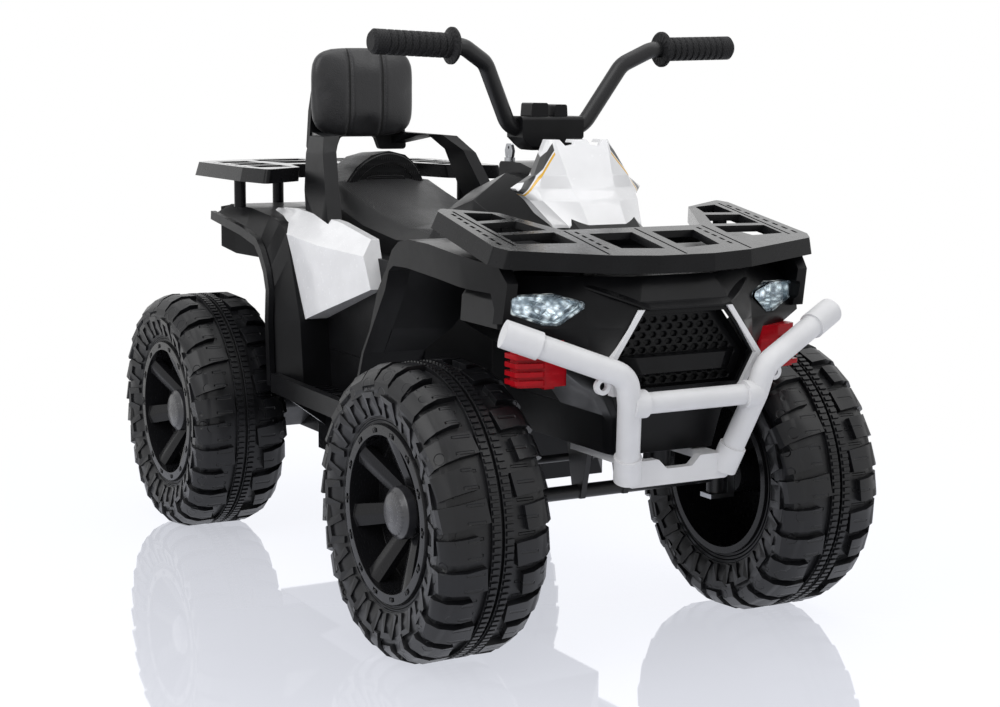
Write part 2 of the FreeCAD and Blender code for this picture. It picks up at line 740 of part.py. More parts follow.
GEARBOX_END = HUB_INNER_FACE - SEAT_GAP
GEARBOX_SIDE = TUB_REAR_HALF + 66
MOTOR_X = REAR_AXLE + 76
MOTOR_Z = TYRE_RADIUS + 34
MOTOR_RADIUS = 19.0
MOTOR_LENGTH = 62.0
MOTOR_NOSE = 6.0
GEARBOX_CORNER = 14.0
GEARBOX_BOSS_RADIUS = 24.0
GEARBOX_BACK = REAR_AXLE - 38
GEARBOX_FRONT = MOTOR_X + 28


def gearbox():
    """Left reduction gearbox round the rear axle, with a drive boss towards the wheel."""
    housing = prism([
        (GEARBOX_BACK, TYRE_RADIUS - 34),
        (REAR_AXLE + 30, TYRE_RADIUS - 34),
        (GEARBOX_FRONT, MOTOR_Z - 22),
        (GEARBOX_FRONT, MOTOR_Z + 26),
        (REAR_AXLE - 10, TYRE_RADIUS + 42),
        (GEARBOX_BACK, TYRE_RADIUS + 20),
    ], "y", TUB_REAR_HALF, GEARBOX_SIDE, GEARBOX_CORNER)
    boss_start = V(REAR_AXLE, GEARBOX_SIDE - 1, TYRE_RADIUS)
    boss = rod(boss_start, V(REAR_AXLE, GEARBOX_END, TYRE_RADIUS), GEARBOX_BOSS_RADIUS)
    hole = axle_passage(REAR_AXLE_DIAMETER / 2 + RUNNING_CLEARANCE)
    return housing.fuse(boss).cut(hole)


def drive_motor():
    """Left motor can, inside the tub wall beside its gearbox."""
    start = TUB_REAR_HALF - TUB_WALL
    end = start - MOTOR_LENGTH
    can = rod(V(MOTOR_X, start, MOTOR_Z), V(MOTOR_X, end, MOTOR_Z), MOTOR_RADIUS)
    nose = rod(V(MOTOR_X, end + 1, MOTOR_Z), V(MOTOR_X, end - MOTOR_NOSE, MOTOR_Z), MOTOR_RADIUS * 0.4)
    return can.fuse(nose)


def rear_axle():
    """Steel rod on which the rear wheels run."""
    end = HUB_OUTER_FACE + SEAT_GAP + NUT_HEIGHT + 2
    return rod(V(REAR_AXLE, -end, TYRE_RADIUS), V(REAR_AXLE, end, TYRE_RADIUS), REAR_AXLE_DIAMETER / 2)


TUB_FLOOR = TUB_BOTTOM + TUB_WALL
CASE_CORNER = 4.0
BATTERY_REAR = -70.0
BATTERY_FRONT = 80.0
BATTERY_HALF = 45.0
BATTERY_HEIGHT = 94.0
POLE_REAR = 52.0
POLE_FRONT = 64.0
POLE_OFFSET = 30.0
POLE_HALF = 5.0
POLE_HEIGHT = 6.0
CONTROL_REAR = -262.0
CONTROL_FRONT = -212.0
CONTROL_HALF = 40.0
CONTROL_HEIGHT = 28.0


def case_outline(rear, front, half):
    """Plan of a box-shaped case."""
    return [(rear, -half), (front, -half), (front, half), (rear, half)]


def battery():
    """Sealed battery on the floor of the tub."""
    top = TUB_FLOOR + BATTERY_HEIGHT
    case = prism(case_outline(BATTERY_REAR, BATTERY_FRONT, BATTERY_HALF), "z", TUB_FLOOR, top, CASE_CORNER)
    poles = []
    for middle in (POLE_OFFSET, -POLE_OFFSET):
        low = middle - POLE_HALF
        high = middle + POLE_HALF
        poles.append(box(POLE_REAR, POLE_FRONT, low, high, top - 1, top + POLE_HEIGHT))
    return case.multiFuse(poles)


def control_box():
    """Control unit on the rear floor of the tub."""
    outline = case_outline(CONTROL_REAR, CONTROL_FRONT, CONTROL_HALF)
    return prism(outline, "z", TUB_FLOOR, TUB_FLOOR + CONTROL_HEIGHT, CASE_CORNER)


# Footboards and pedal

PEDAL_AXIS = V(PEDAL_HEEL, 0, BOARD_TOP + 11)
PEDAL_BAY_ROOM = 9.0
PEDAL_BAY_REAR = 14.0
PEDAL_BAY_FRONT = 6.0
PEDAL_LUG_WALL = 6.0
PEDAL_BARREL_RADIUS = 6.0
PEDAL_RIBS = 5
PEDAL_RIB_START = 18.0
PEDAL_RIB_PITCH = 13.0
PEDAL_RIB_WIDTH = 5.0
RAIL_INSIDE = BOARD_HALF - 26
BOARD_RIB_WIDTH = 5.0
GUSSET_DROP = 52.0
GUSSET_WIDTH = 6.0


def footboard(with_lugs):
    """Left footboard: ribbed tread, outer rail and gussets to the tub."""
    bottom = BOARD_TOP - BOARD_THICKNESS
    outline = [
        (BOARD_REAR, TUB_HALF),
        (BOARD_FRONT, TUB_HALF),
        (BOARD_FRONT, BOARD_HALF),
        (BOARD_REAR + 16, BOARD_HALF - 10),
        (BOARD_REAR, BOARD_HALF - 22),
    ]
    rail_line = [(BOARD_FRONT, BOARD_HALF), (BOARD_REAR + 16, BOARD_HALF - 10), (BOARD_REAR, BOARD_HALF - 22)]
    tread = prism(outline, "z", bottom, BOARD_TOP)
    rail = prism(band(rail_line[::-1], RAIL_WIDTH), "z", bottom, BOARD_TOP + RAIL_HEIGHT)
    pieces = [rail]
    count = int((BOARD_FRONT - BOARD_REAR - 40) // BOARD_RIB_PITCH)
    for index in range(count):
        x = BOARD_REAR + 26 + index * BOARD_RIB_PITCH
        pieces.append(box(x, x + BOARD_RIB_WIDTH, TUB_HALF + 6, RAIL_INSIDE, BOARD_TOP - 1, BOARD_TOP + 2))
    for x in (BOARD_REAR + 30, 0, BOARD_FRONT - 36):
        gusset = [(TUB_HALF, bottom - GUSSET_DROP), (RAIL_INSIDE, bottom - 6), (RAIL_INSIDE, bottom + 1),
                  (TUB_HALF, bottom + 1)]
        pieces.append(prism(gusset, "x", x, x + GUSSET_WIDTH))
    board = tread.multiFuse(pieces)
    if not with_lugs:
        return board
    bay_half = PEDAL_WIDTH / 2 + PEDAL_BAY_ROOM
    bay_rear = PEDAL_AXIS.x - PEDAL_BAY_REAR
    bay_front = PEDAL_AXIS.x + PEDAL_LENGTH + PEDAL_BAY_FRONT
    bay = box(bay_rear, bay_front, PEDAL_MIDDLE - bay_half, PEDAL_MIDDLE + bay_half, BOARD_TOP, BOARD_TOP + 3)
    board = board.cut(bay)
    lugs = []
    for side in (1, -1):
        inside = PEDAL_MIDDLE + side * (PEDAL_WIDTH / 2 + SEAT_GAP)
        outside = inside + side * PEDAL_LUG_WALL
        lug = [(PEDAL_AXIS.x - 9, BOARD_TOP - 1), (PEDAL_AXIS.x + 9, BOARD_TOP - 1),
               (PEDAL_AXIS.x + 6, PEDAL_AXIS.z + 6), (PEDAL_AXIS.x - 6, PEDAL_AXIS.z + 6)]
        lugs.append(prism(lug, "y", min(inside, outside), max(inside, outside), 2))
    hole = rod(V(PEDAL_AXIS.x, TUB_HALF + 1, PEDAL_AXIS.z), V(PEDAL_AXIS.x, BOARD_HALF - 20, PEDAL_AXIS.z),
               PEDAL_PIN_DIAMETER / 2 + RUNNING_CLEARANCE)
    return board.multiFuse(lugs).cut(hole)


def throttle_pedal():
    """Foot pedal for the right side: ribbed plate on a cross pin, raised at its front end."""
    low = PEDAL_MIDDLE - PEDAL_WIDTH / 2
    high = PEDAL_MIDDLE + PEDAL_WIDTH / 2
    x = PEDAL_AXIS.x
    z = PEDAL_AXIS.z
    back = z - 4
    face = back + PEDAL_THICKNESS
    tip = x + PEDAL_LENGTH
    plate = prism([(x, back), (tip, back), (tip, face), (x, face)], "y", low, high, 2)
    ribs = []
    for index in range(PEDAL_RIBS):
        start = x + PEDAL_RIB_START + index * PEDAL_RIB_PITCH
        ribs.append(box(start, start + PEDAL_RIB_WIDTH, low + 4, high - 4, face - 1, face + 2))
    barrel = rod(V(x, low, z), V(x, high, z), PEDAL_BARREL_RADIUS)
    pin = rod(V(x, low - PEDAL_LUG_WALL, z), V(x, high + PEDAL_LUG_WALL, z), PEDAL_PIN_DIAMETER / 2)
    pedal = plate.multiFuse(ribs + [barrel, pin])
    return mirrored(turned(pedal, Y_AXIS, -PEDAL_TILT, PEDAL_AXIS))


# Body covers

def beside(axle, points):
    """Side-view points given as offsets from an axle, in (length, height)."""
    return [(axle + along, height) for along, height in points]


FENDER_LINE = beside(FRONT_AXLE, [
    (-258.5, BOARD_TOP), (-217.5, 341), (-194.5, 372), (-170.5, 426), (-146.5, 455),
    (-130.5, 480), (-112.5, 492), (-84.5, 497), (-32.5, 496), (45.5, 489),
    (114.5, 481), (130.5, 463), (122.5, 417),
])
FENDER_LIP_LINE = beside(FRONT_AXLE, [
    (-250.5, BOARD_TOP), (-212.5, 340), (-177.5, 389), (-149.5, 428), (-138.5, 454),
    (-126.5, 461), (-90.5, 462), (-11.5, 457), (63.5, 451), (101.5, 450),
    (108.5, 432), (105.5, 415),
])
FLARE_LOW_LINE = beside(REAR_AXLE, [
    (-22.5, 481), (98.5, 466), (157.5, 454), (176.5, 438), (194.5, 413),
    (204.5, 385), (200.5, 340), (206.5, BOARD_TOP),
])
FLARE_HIGH_LINE = beside(REAR_AXLE, [
    (-22.5, 495), (62.5, 494), (133.5, 487), (171.5, 480), (193.5, 466),
    (207.5, 435), (242.5, 341), (254.5, BOARD_TOP),
])

FASCIA_LEVELS = [
    (468, (402, 190), (462, 196), (516, 112), (541, 50)),
    (440, (402, 212), (490, 214), (528, 116), (555, 62)),
    (410, (402, 214), (494, 216), (530, 118), (559, 84)),
    (371, (402, 150), (500, 150), (536, 116), (556, 106)),
    (330, (402, 96), (505, 97), (530, 96), (545, 92)),
    (TUB_RIM, (402, NECK_HALF + FASCIA_WALL), (500, 76), (522, 76), (532, 74)),
    (NECK_FLOOR + 2, (402, NECK_HALF + FASCIA_WALL), (498, 74), (515, 72), (522, 68)),
]


def fascia_volume(inset):
    """Front fascia without its hollow; an inset makes the hollow, open at the back and below."""
    sections = []
    for height, *half in FASCIA_LEVELS:
        level = height
        if height == FASCIA_LEVELS[0][0]:
            level = height - inset
        if height == FASCIA_LEVELS[-1][0]:
            level = height - inset
        points = [(x - inset, y - inset) for x, y in half]
        points[0] = (half[0][0] - inset * 3, half[0][1] - inset)
        sections.append([V(x, y, level) for x, y in both_sides(points)])
    return ruled_loft(sections)


GRILLE_BACK = 532.0
GRILLE_OUTLINE = [(57, 425), (98, 372), (84, 337), (-84, 337), (-98, 372), (-57, 425)]
LAMP_ORIGIN = V(492, 199.5, 0)
LAMP_ALONG = V(34.5, -86, 0).normalize()
LAMP_OUT = V(86, 34.5, 0).normalize()
LAMP_OUTLINE = [(0, 447), (0, 427), (40, 413), (57, 413), (94, 438), (50, 449)]
LAMP_MIDDLE = V(42, 431, 0)
LAMP_CORNER = 5.0
LAMP_GAP = 0.4
LAMP_DEPTH = 28.0
LAMP_FACE = 2.0
LAMP_BOWL_WALL = 3.0
LENS_THICKNESS = 4.0
LAMP_OPENING = 34.0
GRILLE_MIDDLE = 380.0
GRILLE_SEAT = 5.0
GRILLE_THICKNESS = 4.0
GRILLE_SEAT_SCALE = 1.12
GRILLE_FIT_SCALE = 0.985


def lamp_prism(inset, start, end):
    """Leaf-shaped block behind the left headlight's face."""
    points = []
    for along, height in LAMP_OUTLINE:
        spoke_out = V(along, height, 0) - LAMP_MIDDLE
        scale = (spoke_out.Length - inset) / spoke_out.Length
        place = LAMP_MIDDLE + spoke_out * scale
        points.append(LAMP_ORIGIN + LAMP_ALONG * place.x + LAMP_OUT * start + Z_AXIS * place.y)
    return Part.Face(rounded_wire(points, LAMP_CORNER)).extrude(LAMP_OUT * (end - start))


def front_fascia():
    """Nose moulding with a recessed grille seat and two lamp openings."""
    outer = fascia_volume(0)
    shell = outer.cut(fascia_volume(FASCIA_WALL))
    scale = GRILLE_SEAT_SCALE
    seat_outline = [(y * scale, GRILLE_MIDDLE + (z - GRILLE_MIDDLE) * scale) for y, z in GRILLE_OUTLINE]
    seat = prism(seat_outline, "x", GRILLE_BACK - GRILLE_SEAT, GRILLE_BACK).common(outer)
    shell = shell.fuse(seat)
    shell = shell.cut(prism(GRILLE_OUTLINE, "x", GRILLE_BACK, BUMPER_FRONT))
    lamp = lamp_prism(-LAMP_GAP, -LAMP_OPENING, LAMP_OPENING)
    return shell.cut(lamp).cut(mirrored(lamp))


BULB_ALONG = 38.0
BULB_FACE = 12.0
BULB_RADIUS = 7.0


def headlight_reflector():
    """Left lamp bowl, open to the front."""
    hollow = lamp_prism(LAMP_BOWL_WALL, LAMP_BOWL_WALL - LAMP_DEPTH, LAMP_FACE + 1)
    bowl = lamp_prism(0, -LAMP_DEPTH, LAMP_FACE).cut(hollow)
    lamp_centre = LAMP_ORIGIN + LAMP_ALONG * BULB_ALONG + Z_AXIS * LAMP_MIDDLE.y
    bulb = rod(lamp_centre - LAMP_OUT * (LAMP_DEPTH - 2), lamp_centre - LAMP_OUT * BULB_FACE, BULB_RADIUS)
    return bowl.fuse(bulb)


def headlight_lens():
    """Left clear lens, seated on the lamp bowl."""
    return lamp_prism(0, LAMP_FACE, LAMP_FACE + LENS_THICKNESS)


CELL_PITCH_ACROSS = 15.0
CELL_PITCH_UP = 9.0
CELL_HALF_WIDTH = 5.0
CELL_HALF_HEIGHT = 3.0
CELL_ROWS = 9
CELL_COLUMNS = 7
CELL_FIRST_ROW = 343.5
CELL_EDGE = 9.0


def grille_half_width(height):
    """Half the grille's width at a height: widest at its waist."""
    (_, _), (waist, waist_height), (foot, foot_height) = GRILLE_OUTLINE[:3]
    if height < waist_height:
        return foot + (height - foot_height) * 0.4
    return waist - (height - waist_height) * 0.77


def honeycomb_cell(y, z):
    """Six-sided hole of the grille about a point of its back plane."""
    width = CELL_HALF_WIDTH
    height = CELL_HALF_HEIGHT
    corners = [(-width, 0), (-width / 2, height), (width / 2, height), (width, 0), (width / 2, -height),
               (-width / 2, -height)]
    return rounded_wire([V(GRILLE_BACK, y + across, z + up) for across, up in corners], 0)


def grille_mesh():
    """Honeycomb plate in the recess of the fascia."""
    outline = []
    for y, z in GRILLE_OUTLINE:
        height = GRILLE_MIDDLE + (z - GRILLE_MIDDLE) * GRILLE_FIT_SCALE
        outline.append((y - math.copysign(SEAT_GAP, y), height))
    outer = rounded_wire([V(GRILLE_BACK, y, z) for y, z in outline], 0)
    holes = []
    for row in range(CELL_ROWS):
        z = CELL_FIRST_ROW + row * CELL_PITCH_UP
        shift = 0.5 * (row % 2)
        for column in range(-CELL_COLUMNS, CELL_COLUMNS + 1):
            y = (column + shift) * CELL_PITCH_ACROSS
            if abs(y) + CELL_EDGE <= grille_half_width(z):
                holes.append(honeycomb_cell(y, z))
    return Part.Face([outer] + holes).extrude(X_AXIS * GRILLE_THICKNESS)


GRILLE_BAR_FOOT = [(78, 350), (-78, 350), (-88, 376), (88, 376)]
GRILLE_BAR_FACE = [(17, 56, 355), (17, -56, 355), (15, -64, 374), (15, 64, 374)]


def grille_bar():
    """Raised bar across the grille."""
    start = GRILLE_BACK + GRILLE_THICKNESS
    low = [V(start, y, z) for y, z in GRILLE_BAR_FOOT]
    high = [V(start + out, y, z) for out, y, z in GRILLE_BAR_FACE]
    return ruled_loft([low, high])


TRIM_WIDTH = 8.0
TRIM_DEPTH = 24.0
TRIM_LEVELS = [(431, 58, 560), (372, 100, 563), (331, 86, 551)]


def grille_trim():
    """Left white chevron beside the grille."""
    sections = []
    for height, y, front in TRIM_LEVELS:
        back = front - TRIM_DEPTH
        outer = y + TRIM_WIDTH
        corners = [(back, y), (front, y), (front, outer), (back, outer)]
        sections.append([V(along, across, height) for along, across in corners])
    return ruled_loft(sections).cut(fascia_volume(0))


SHOCK_FOOT = 343.0
SHOCK_TOP = 396.0
SHOCK_LUG = 338.0
SHOCK_RIBS = 4
SHOCK_RIB_PITCH = 10.0
SHOCK_RIB_HEIGHT = 5.5
SHOCK_PLAN = [(482, 136), (520, 136), (520, 166), (512, 198), (490, 198), (482, 166)]
SHOCK_RIB_PLAN = [(479, 168), (524, 168), (515, 203), (487, 203)]
SHOCK_LUG_PLAN = [(490, 146), (506, 146), (506, 160), (490, 160)]


def front_shock():
    """Left moulded shock absorber: a ribbed spring body under the fascia."""
    block = prism(SHOCK_PLAN, "z", SHOCK_FOOT, SHOCK_TOP, 6)
    ribs = []
    for index in range(SHOCK_RIBS):
        z = SHOCK_FOOT + 3 + index * SHOCK_RIB_PITCH
        ribs.append(prism(SHOCK_RIB_PLAN, "z", z, z + SHOCK_RIB_HEIGHT, 4))
    lug = prism(SHOCK_LUG_PLAN, "z", SHOCK_LUG, SHOCK_FOOT + 1)
    return block.multiFuse(ribs + [lug]).cut(fascia_volume(0))


def front_fender_volume():
    """Left front fender: arched skin from the footboard over the wheel, with a deep outer lip."""
    edge = FENDER_HALF - FENDER_EDGE
    rear = FENDER_LINE[0][0]
    shoulder = FENDER_LINE[-4][0]
    front = FENDER_LINE[-2][0]
    skin = prism(band(FENDER_LINE[:-2], SKIN), "y", NECK_HALF, edge)
    lip = prism(FENDER_LINE + FENDER_LIP_LINE[::-1], "y", edge, FENDER_HALF)
    plan = [(rear, 0), (front, 0), (front, FENDER_FRONT_HALF), (shoulder, FENDER_HALF), (rear, FENDER_HALF)]
    return skin.fuse(lip).common(prism(plan, "z", 0, RACK_BACK_HEIGHT))


def front_fender():
    """Left front fender, trimmed to the body, fascia, footboard and shroud."""
    fender = front_fender_volume().cut(body_volume(0)).cut(fascia_volume(0)).cut(footboard(False))
    return fender.cut(tub_volume(0)).cut(lamp_prism(-LAMP_GAP, -LAMP_OPENING, LAMP_OPENING))


PANEL_STATIONS = [
    (-300, 150, 495, 186, 470),
    (-216, 150, 498, 186, 468),
    (-96, 140, 487, 176, 455),
    (60, 148, 466, 158, 448),
]
PANEL_OUTLINE = [
    (-299, 525, 1, 0), (-299, 470, 1, 1), (-182, 440, 1, 1), (-150, 341, 1, 1),
    (42, 405, -1, 1), (30, 440, -1, 0), (18, 472, -1, 0), (18, 525, -1, 0),
]
PANEL_LEDGE = 12.0
PANEL_FOOT = 325.0


def side_panel_volume(inset):
    """Left white cover beside the seat; an inset makes its hollow, open towards the body."""
    sections = []
    for x, edge, top, crease, crease_height in PANEL_STATIONS:
        sections.append([
            V(x, edge - PANEL_LEDGE, top - inset),
            V(x, edge - inset / 2, top - inset),
            V(x, crease - inset, crease_height - inset / 2),
            V(x, crease - SKIN - inset, PANEL_FOOT),
            V(x, edge - PANEL_LEDGE, PANEL_FOOT),
        ])
    outline = [(x + inset * across, z + inset * up) for x, z, across, up in PANEL_OUTLINE]
    return ruled_loft(sections).common(prism(outline, "y", 0, FENDER_HALF))


FLARE_LIP_WIDTH = 8.0
FLARE_LIP_RISE = 4.0


def flare_volume():
    """Left rear flare: slanted face round the wheel arch, with a lip and an inner skin."""
    edge = FLARE_HALF - FLARE_LIP_WIDTH
    face = band_loft(band(FLARE_HIGH_LINE, SKIN), FLARE_INNER, band(FLARE_LOW_LINE, SKIN), edge)
    lip = prism(band(FLARE_LOW_LINE, SKIN + FLARE_LIP_RISE, FLARE_LIP_RISE), "y", edge, FLARE_HALF)
    skin = prism(band(FLARE_HIGH_LINE, SKIN), "y", TUB_REAR_HALF - TUB_WALL, FLARE_INNER)
    return face.multiFuse([lip, skin])


def rear_flare():
    """Left rear flare, trimmed to the body and the footboard."""
    return flare_volume().cut(body_volume(0)).cut(footboard(False)).cut(tub_volume(0)).cut(seat_volume())


def side_panel():
    """Left white cover, hollow behind, trimmed to the flare, body and seat."""
    shell = side_panel_volume(0).cut(side_panel_volume(PANEL_WALL))
    wheel_side = FLARE_HIGH_LINE + [(FLARE_HIGH_LINE[0][0], BOARD_TOP)]
    under_flare = prism(wheel_side, "y", TUB_REAR_HALF, FENDER_HALF)
    return shell.cut(flare_volume()).cut(under_flare).cut(body_volume(0)).cut(seat_volume())


SHROUD_STATIONS = [
    (72, (92, 430), (84, 478), (50, 498)),
    (150, (112, 430), (106, 515), (60, 545)),
    (235, (114, 440), (106, 538), (58, 572)),
    (322, (104, 440), (90, 500), (52, 560)),
    (398, (88, 440), (76, 486), (44, 508)),
]
DASH_TOP = 585.0
DASH_HALF = 40.0
DASH_ROOF = 18.0
DASH_OUTLINE = [
    (186, 520), (186, DASH_TOP - 4), (190, DASH_TOP), (240, DASH_TOP), (278, DASH_TOP - 8), (280, 520),
]
DASH_HOLLOW = [
    (191, 500), (191, DASH_TOP - DASH_ROOF), (240, DASH_TOP - DASH_ROOF), (274, DASH_TOP - 8 - DASH_ROOF),
    (274, 500),
]


def shroud_volume(inset):
    """Dash shroud without its hollow; an inset makes the hollow."""
    sections = []
    for index, (x, *half) in enumerate(SHROUD_STATIONS):
        station = x
        if index == 0:
            station = x + inset
        if index == len(SHROUD_STATIONS) - 1:
            station = x - inset
        points = [(half[0][0] - inset, half[0][1] - inset), (half[1][0] - inset, half[1][1] - inset / 2),
                  (half[2][0] - inset / 2, half[2][1] - inset)]
        ring = points + [(-y, z) for y, z in points[::-1]]
        sections.append([V(station, y, z) for y, z in ring])
    return ruled_loft(sections)


KEY_PLACE = V(200, -32, DASH_TOP)
ROCKER_PLACE = V(204, 24, DASH_TOP)
ROCKER_PIVOT = ROCKER_PLACE - Z_AXIS * 2
ROCKER_PIN = 3.0
ROCKER_PIN_HALF = 10.5
ROCKER_HALF = 7.5
ROCKER_ROOM = 0.5
ROCKER_BAY_LENGTH = 22.0
ROCKER_BAY_DEPTH = 12.0
ROCKER_PROFILE = [(-9, -3), (0, -6), (9, -3), (9, 4), (0, 2.5), (-9, 4)]
KEY_STEM = 7.0
KEY_DEPTH = 12.0
KEY_COLLAR = 5.0
KEY_BOW = [(-8, 5), (8, 5), (10, 14), (6, 23), (-6, 23), (-10, 14)]
KEY_BOW_HALF = 2.0
KEY_RING_HOLE = V(0, 0, 18)


def dash_shroud():
    """Cowl between seat and fairing, with a raised dash box round the steering column."""
    shell = shroud_volume(0).cut(shroud_volume(SHROUD_WALL))
    dash = prism(DASH_OUTLINE, "y", -DASH_HALF, DASH_HALF)
    hollow = prism(DASH_HOLLOW, "y", SHROUD_WALL - DASH_HALF, DASH_HALF - SHROUD_WALL)
    shell = shell.fuse(dash).cut(hollow)
    shell = shell.cut(front_fender_volume()).cut(mirrored(front_fender_volume())).cut(body_volume(0))
    shell = shell.cut(column_passage(COLUMN_DIAMETER / 2 + RUNNING_CLEARANCE))
    lock_foot = KEY_PLACE - Z_AXIS * (KEY_DEPTH + 2)
    key_hole = rod(lock_foot, KEY_PLACE + Z_AXIS, KEY_STEM / 2 + RUNNING_CLEARANCE)
    bay_half = ROCKER_HALF + ROCKER_ROOM
    bay_rear = ROCKER_PLACE.x - ROCKER_BAY_LENGTH / 2
    bay_low = ROCKER_PLACE.y - bay_half
    bay_foot = DASH_TOP - ROCKER_BAY_DEPTH
    bay_front = bay_rear + ROCKER_BAY_LENGTH
    rocker_bay = box(bay_rear, bay_front, bay_low, bay_low + 2 * bay_half, bay_foot, DASH_TOP + 1)
    pin_reach = Y_AXIS * (ROCKER_PIN_HALF + ROCKER_ROOM)
    rocker_pin = rod(ROCKER_PIVOT - pin_reach, ROCKER_PIVOT + pin_reach, ROCKER_PIN / 2 + RUNNING_CLEARANCE)
    return shell.cut(key_hole).cut(rocker_bay).cut(rocker_pin)


def ignition_key():
    """Key in its lock: round stem, collar and flat bow with a hole."""
    stem = rod(KEY_PLACE - Z_AXIS * KEY_DEPTH, KEY_PLACE + Z_AXIS * (KEY_COLLAR + 3), KEY_STEM / 2)
    collar = rod(KEY_PLACE + Z_AXIS * SEAT_GAP, KEY_PLACE + Z_AXIS * KEY_COLLAR, KEY_STEM)
    bow = prism(KEY_BOW, "y", -KEY_BOW_HALF, KEY_BOW_HALF, 3)
    hole = rod(KEY_RING_HOLE - Y_AXIS * KEY_BOW_HALF * 2, KEY_RING_HOLE + Y_AXIS * KEY_BOW_HALF * 2, 2)
    return stem.multiFuse([collar, moved(bow.cut(hole), KEY_PLACE.x, KEY_PLACE.y, KEY_PLACE.z)])


def gear_rocker():
    """Forward and reverse rocker on a cross pin in the dash."""
    profile = [(ROCKER_PIVOT.x + along, ROCKER_PIVOT.z + up) for along, up in ROCKER_PROFILE]
    body = prism(profile, "y", ROCKER_PIVOT.y - ROCKER_HALF, ROCKER_PIVOT.y + ROCKER_HALF)
    reach = Y_AXIS * ROCKER_PIN_HALF
    pin = rod(ROCKER_PIVOT - reach, ROCKER_PIVOT + reach, ROCKER_PIN / 2)
    return body.fuse(pin)


FAIRING_LEVELS = [
    (500, (396, 26), (391, 46), (374, 62), (345, 62)),
    (515, (388, 27), (382, 54), (364, 66), (340, 66)),
    (543, (369, 29), (349, 70), (330, 78), (312, 76)),
    (557, (355, 31), (338, 69), (320, 93), (306, 92)),
    (573, (346, 33), (335, 64), (322, 68), (308, 66)),
    (617, (323, 39), (318, 43), (312, 44), (302, 43)),
]


FAIRING_NOTCH = [(34, 620), (25, 609), (12, 611), (7, 620)]
FAIRING_NOTCH_REACH = (270, 360)


def fairing_volume(inset):
    """White shield ahead of the handlebar; an inset makes its hollow, open behind and below."""
    sections = []
    for index, (height, *half) in enumerate(FAIRING_LEVELS):
        level = height
        if index in (0, len(FAIRING_LEVELS) - 1):
            level = height - inset
        points = [(x - inset, y - inset / 2) for x, y in half]
        points[-1] = (half[-1][0] - inset * 6, half[-1][1] - inset)
        sections.append([V(x, y, level) for x, y in both_sides(points)])
    return ruled_loft(sections)


def nose_fairing():
    """White shield: hollow behind, notched at its top edge, seated on the shroud."""
    shell = fairing_volume(0).cut(fairing_volume(FAIRING_WALL))
    for side in (1, -1):
        notch = [(side * y, z) for y, z in FAIRING_NOTCH]
        shell = shell.cut(prism(notch, "x", *FAIRING_NOTCH_REACH))
    return shell.cut(shroud_volume(0)).cut(front_rack_volume())


# Racks

FRONT_RACK_HALF = [(130, 100), (46, 140), (18, 205), (30, 215), (186, 224), (204, 214), (240, 97), (249, 38)]
FRONT_RACK_WINDOWS = [
    [(40, 186), (48, 150), (76, 144), (80, 188)],
    [(90, 190), (86, 138), (128, 120), (132, 190)],
    [(142, 190), (138, 116), (186, 112), (180, 190)],
    [(150, 14), (222, 14), (214, 70), (150, 76)],
]
REAR_RACK_HALF = [
    (-565, 40), (-540, 120), (-518, 175), (-487, 206), (-300, 206), (-225, 196), (-275, 124), (-350, 106),
    (-366, 92),
]
REAR_RACK_WINDOWS = [
    [(-350, 124), (-292, 128), (-288, 184), (-346, 182)],
    [(-420, 124), (-360, 124), (-364, 184), (-416, 182)],
    [(-488, 124), (-430, 124), (-434, 184), (-480, 180)],
    [(-468, 12), (-400, 12), (-400, 92), (-468, 104)],
    [(-542, 12), (-480, 12), (-480, 106), (-526, 100)],
]


WINDOW_TAPER = 0.8
RACK_SLOT_WIDTH = 4.0
RACK_SLOT_LENGTH = 11.0
RACK_SLOT_PITCH = 18.0
RACK_SLOTS = 8
GROOVE_HALF = 1.5
GROOVE_DEPTH = 2.5


def rack_window(corners):
    """Tapered opening through a rack deck, narrower at its foot."""
    middle_u = sum(u for u, v in corners) / len(corners)
    middle_v = sum(v for u, v in corners) / len(corners)
    top = [V(u, v, 1) for u, v in corners]
    foot = []
    for u, v in corners:
        foot_u = middle_u + (u - middle_u) * WINDOW_TAPER
        foot_v = middle_v + (v - middle_v) * WINDOW_TAPER
        foot.append(V(foot_u, foot_v, -RACK_SKIRT))
    return ruled_loft([foot, top])


def rack_slot(u, v, length):
    """Small slot through a rack deck."""
    return box(u, u + length, v - RACK_SLOT_WIDTH / 2, v + RACK_SLOT_WIDTH / 2, -RACK_SKIRT, 1)


def rack_groove(start, end, v):
    """Shallow groove along a rack deck."""
    return box(start, end, v - GROOVE_HALF, v + GROOVE_HALF, -GROOVE_DEPTH, 1)


def rack_slab(half_outline):
    """Rack as a closed slab whose skirt flares out towards its foot."""
    outline = both_sides(half_outline)
    middle = (min(u for u, v in outline) + max(u for u, v in outline)) / 2
    grow = 1 + RACK_FLARE
    top = rounded_wire([V(u, v, 0) for u, v in outline], RACK_CORNER)
    foot_points = [V(middle + (u - middle) * grow, v * grow, -RACK_SKIRT) for u, v in outline]
    foot = rounded_wire(foot_points, RACK_CORNER * grow)
    return Part.makeLoft([foot, top], True, True)


def rack_blank(half_outline):
    """Deck with a skirt all round, open below."""
    wire = rounded_wire([V(u, v, -RACK_SKIRT - 1) for u, v in both_sides(half_outline)], RACK_CORNER)
    inside = Part.Face(wire.makeOffset2D(-RACK_WALL)).extrude(V(0, 0, RACK_SKIRT + 1 - RACK_DECK))
    return rack_slab(half_outline).cut(inside)


def mirrored_windows(outlines):
    """Tapered openings from outlines on the left, and their mirror images."""
    left = [rack_window(corners) for corners in outlines]
    return left + [mirrored(window) for window in left]


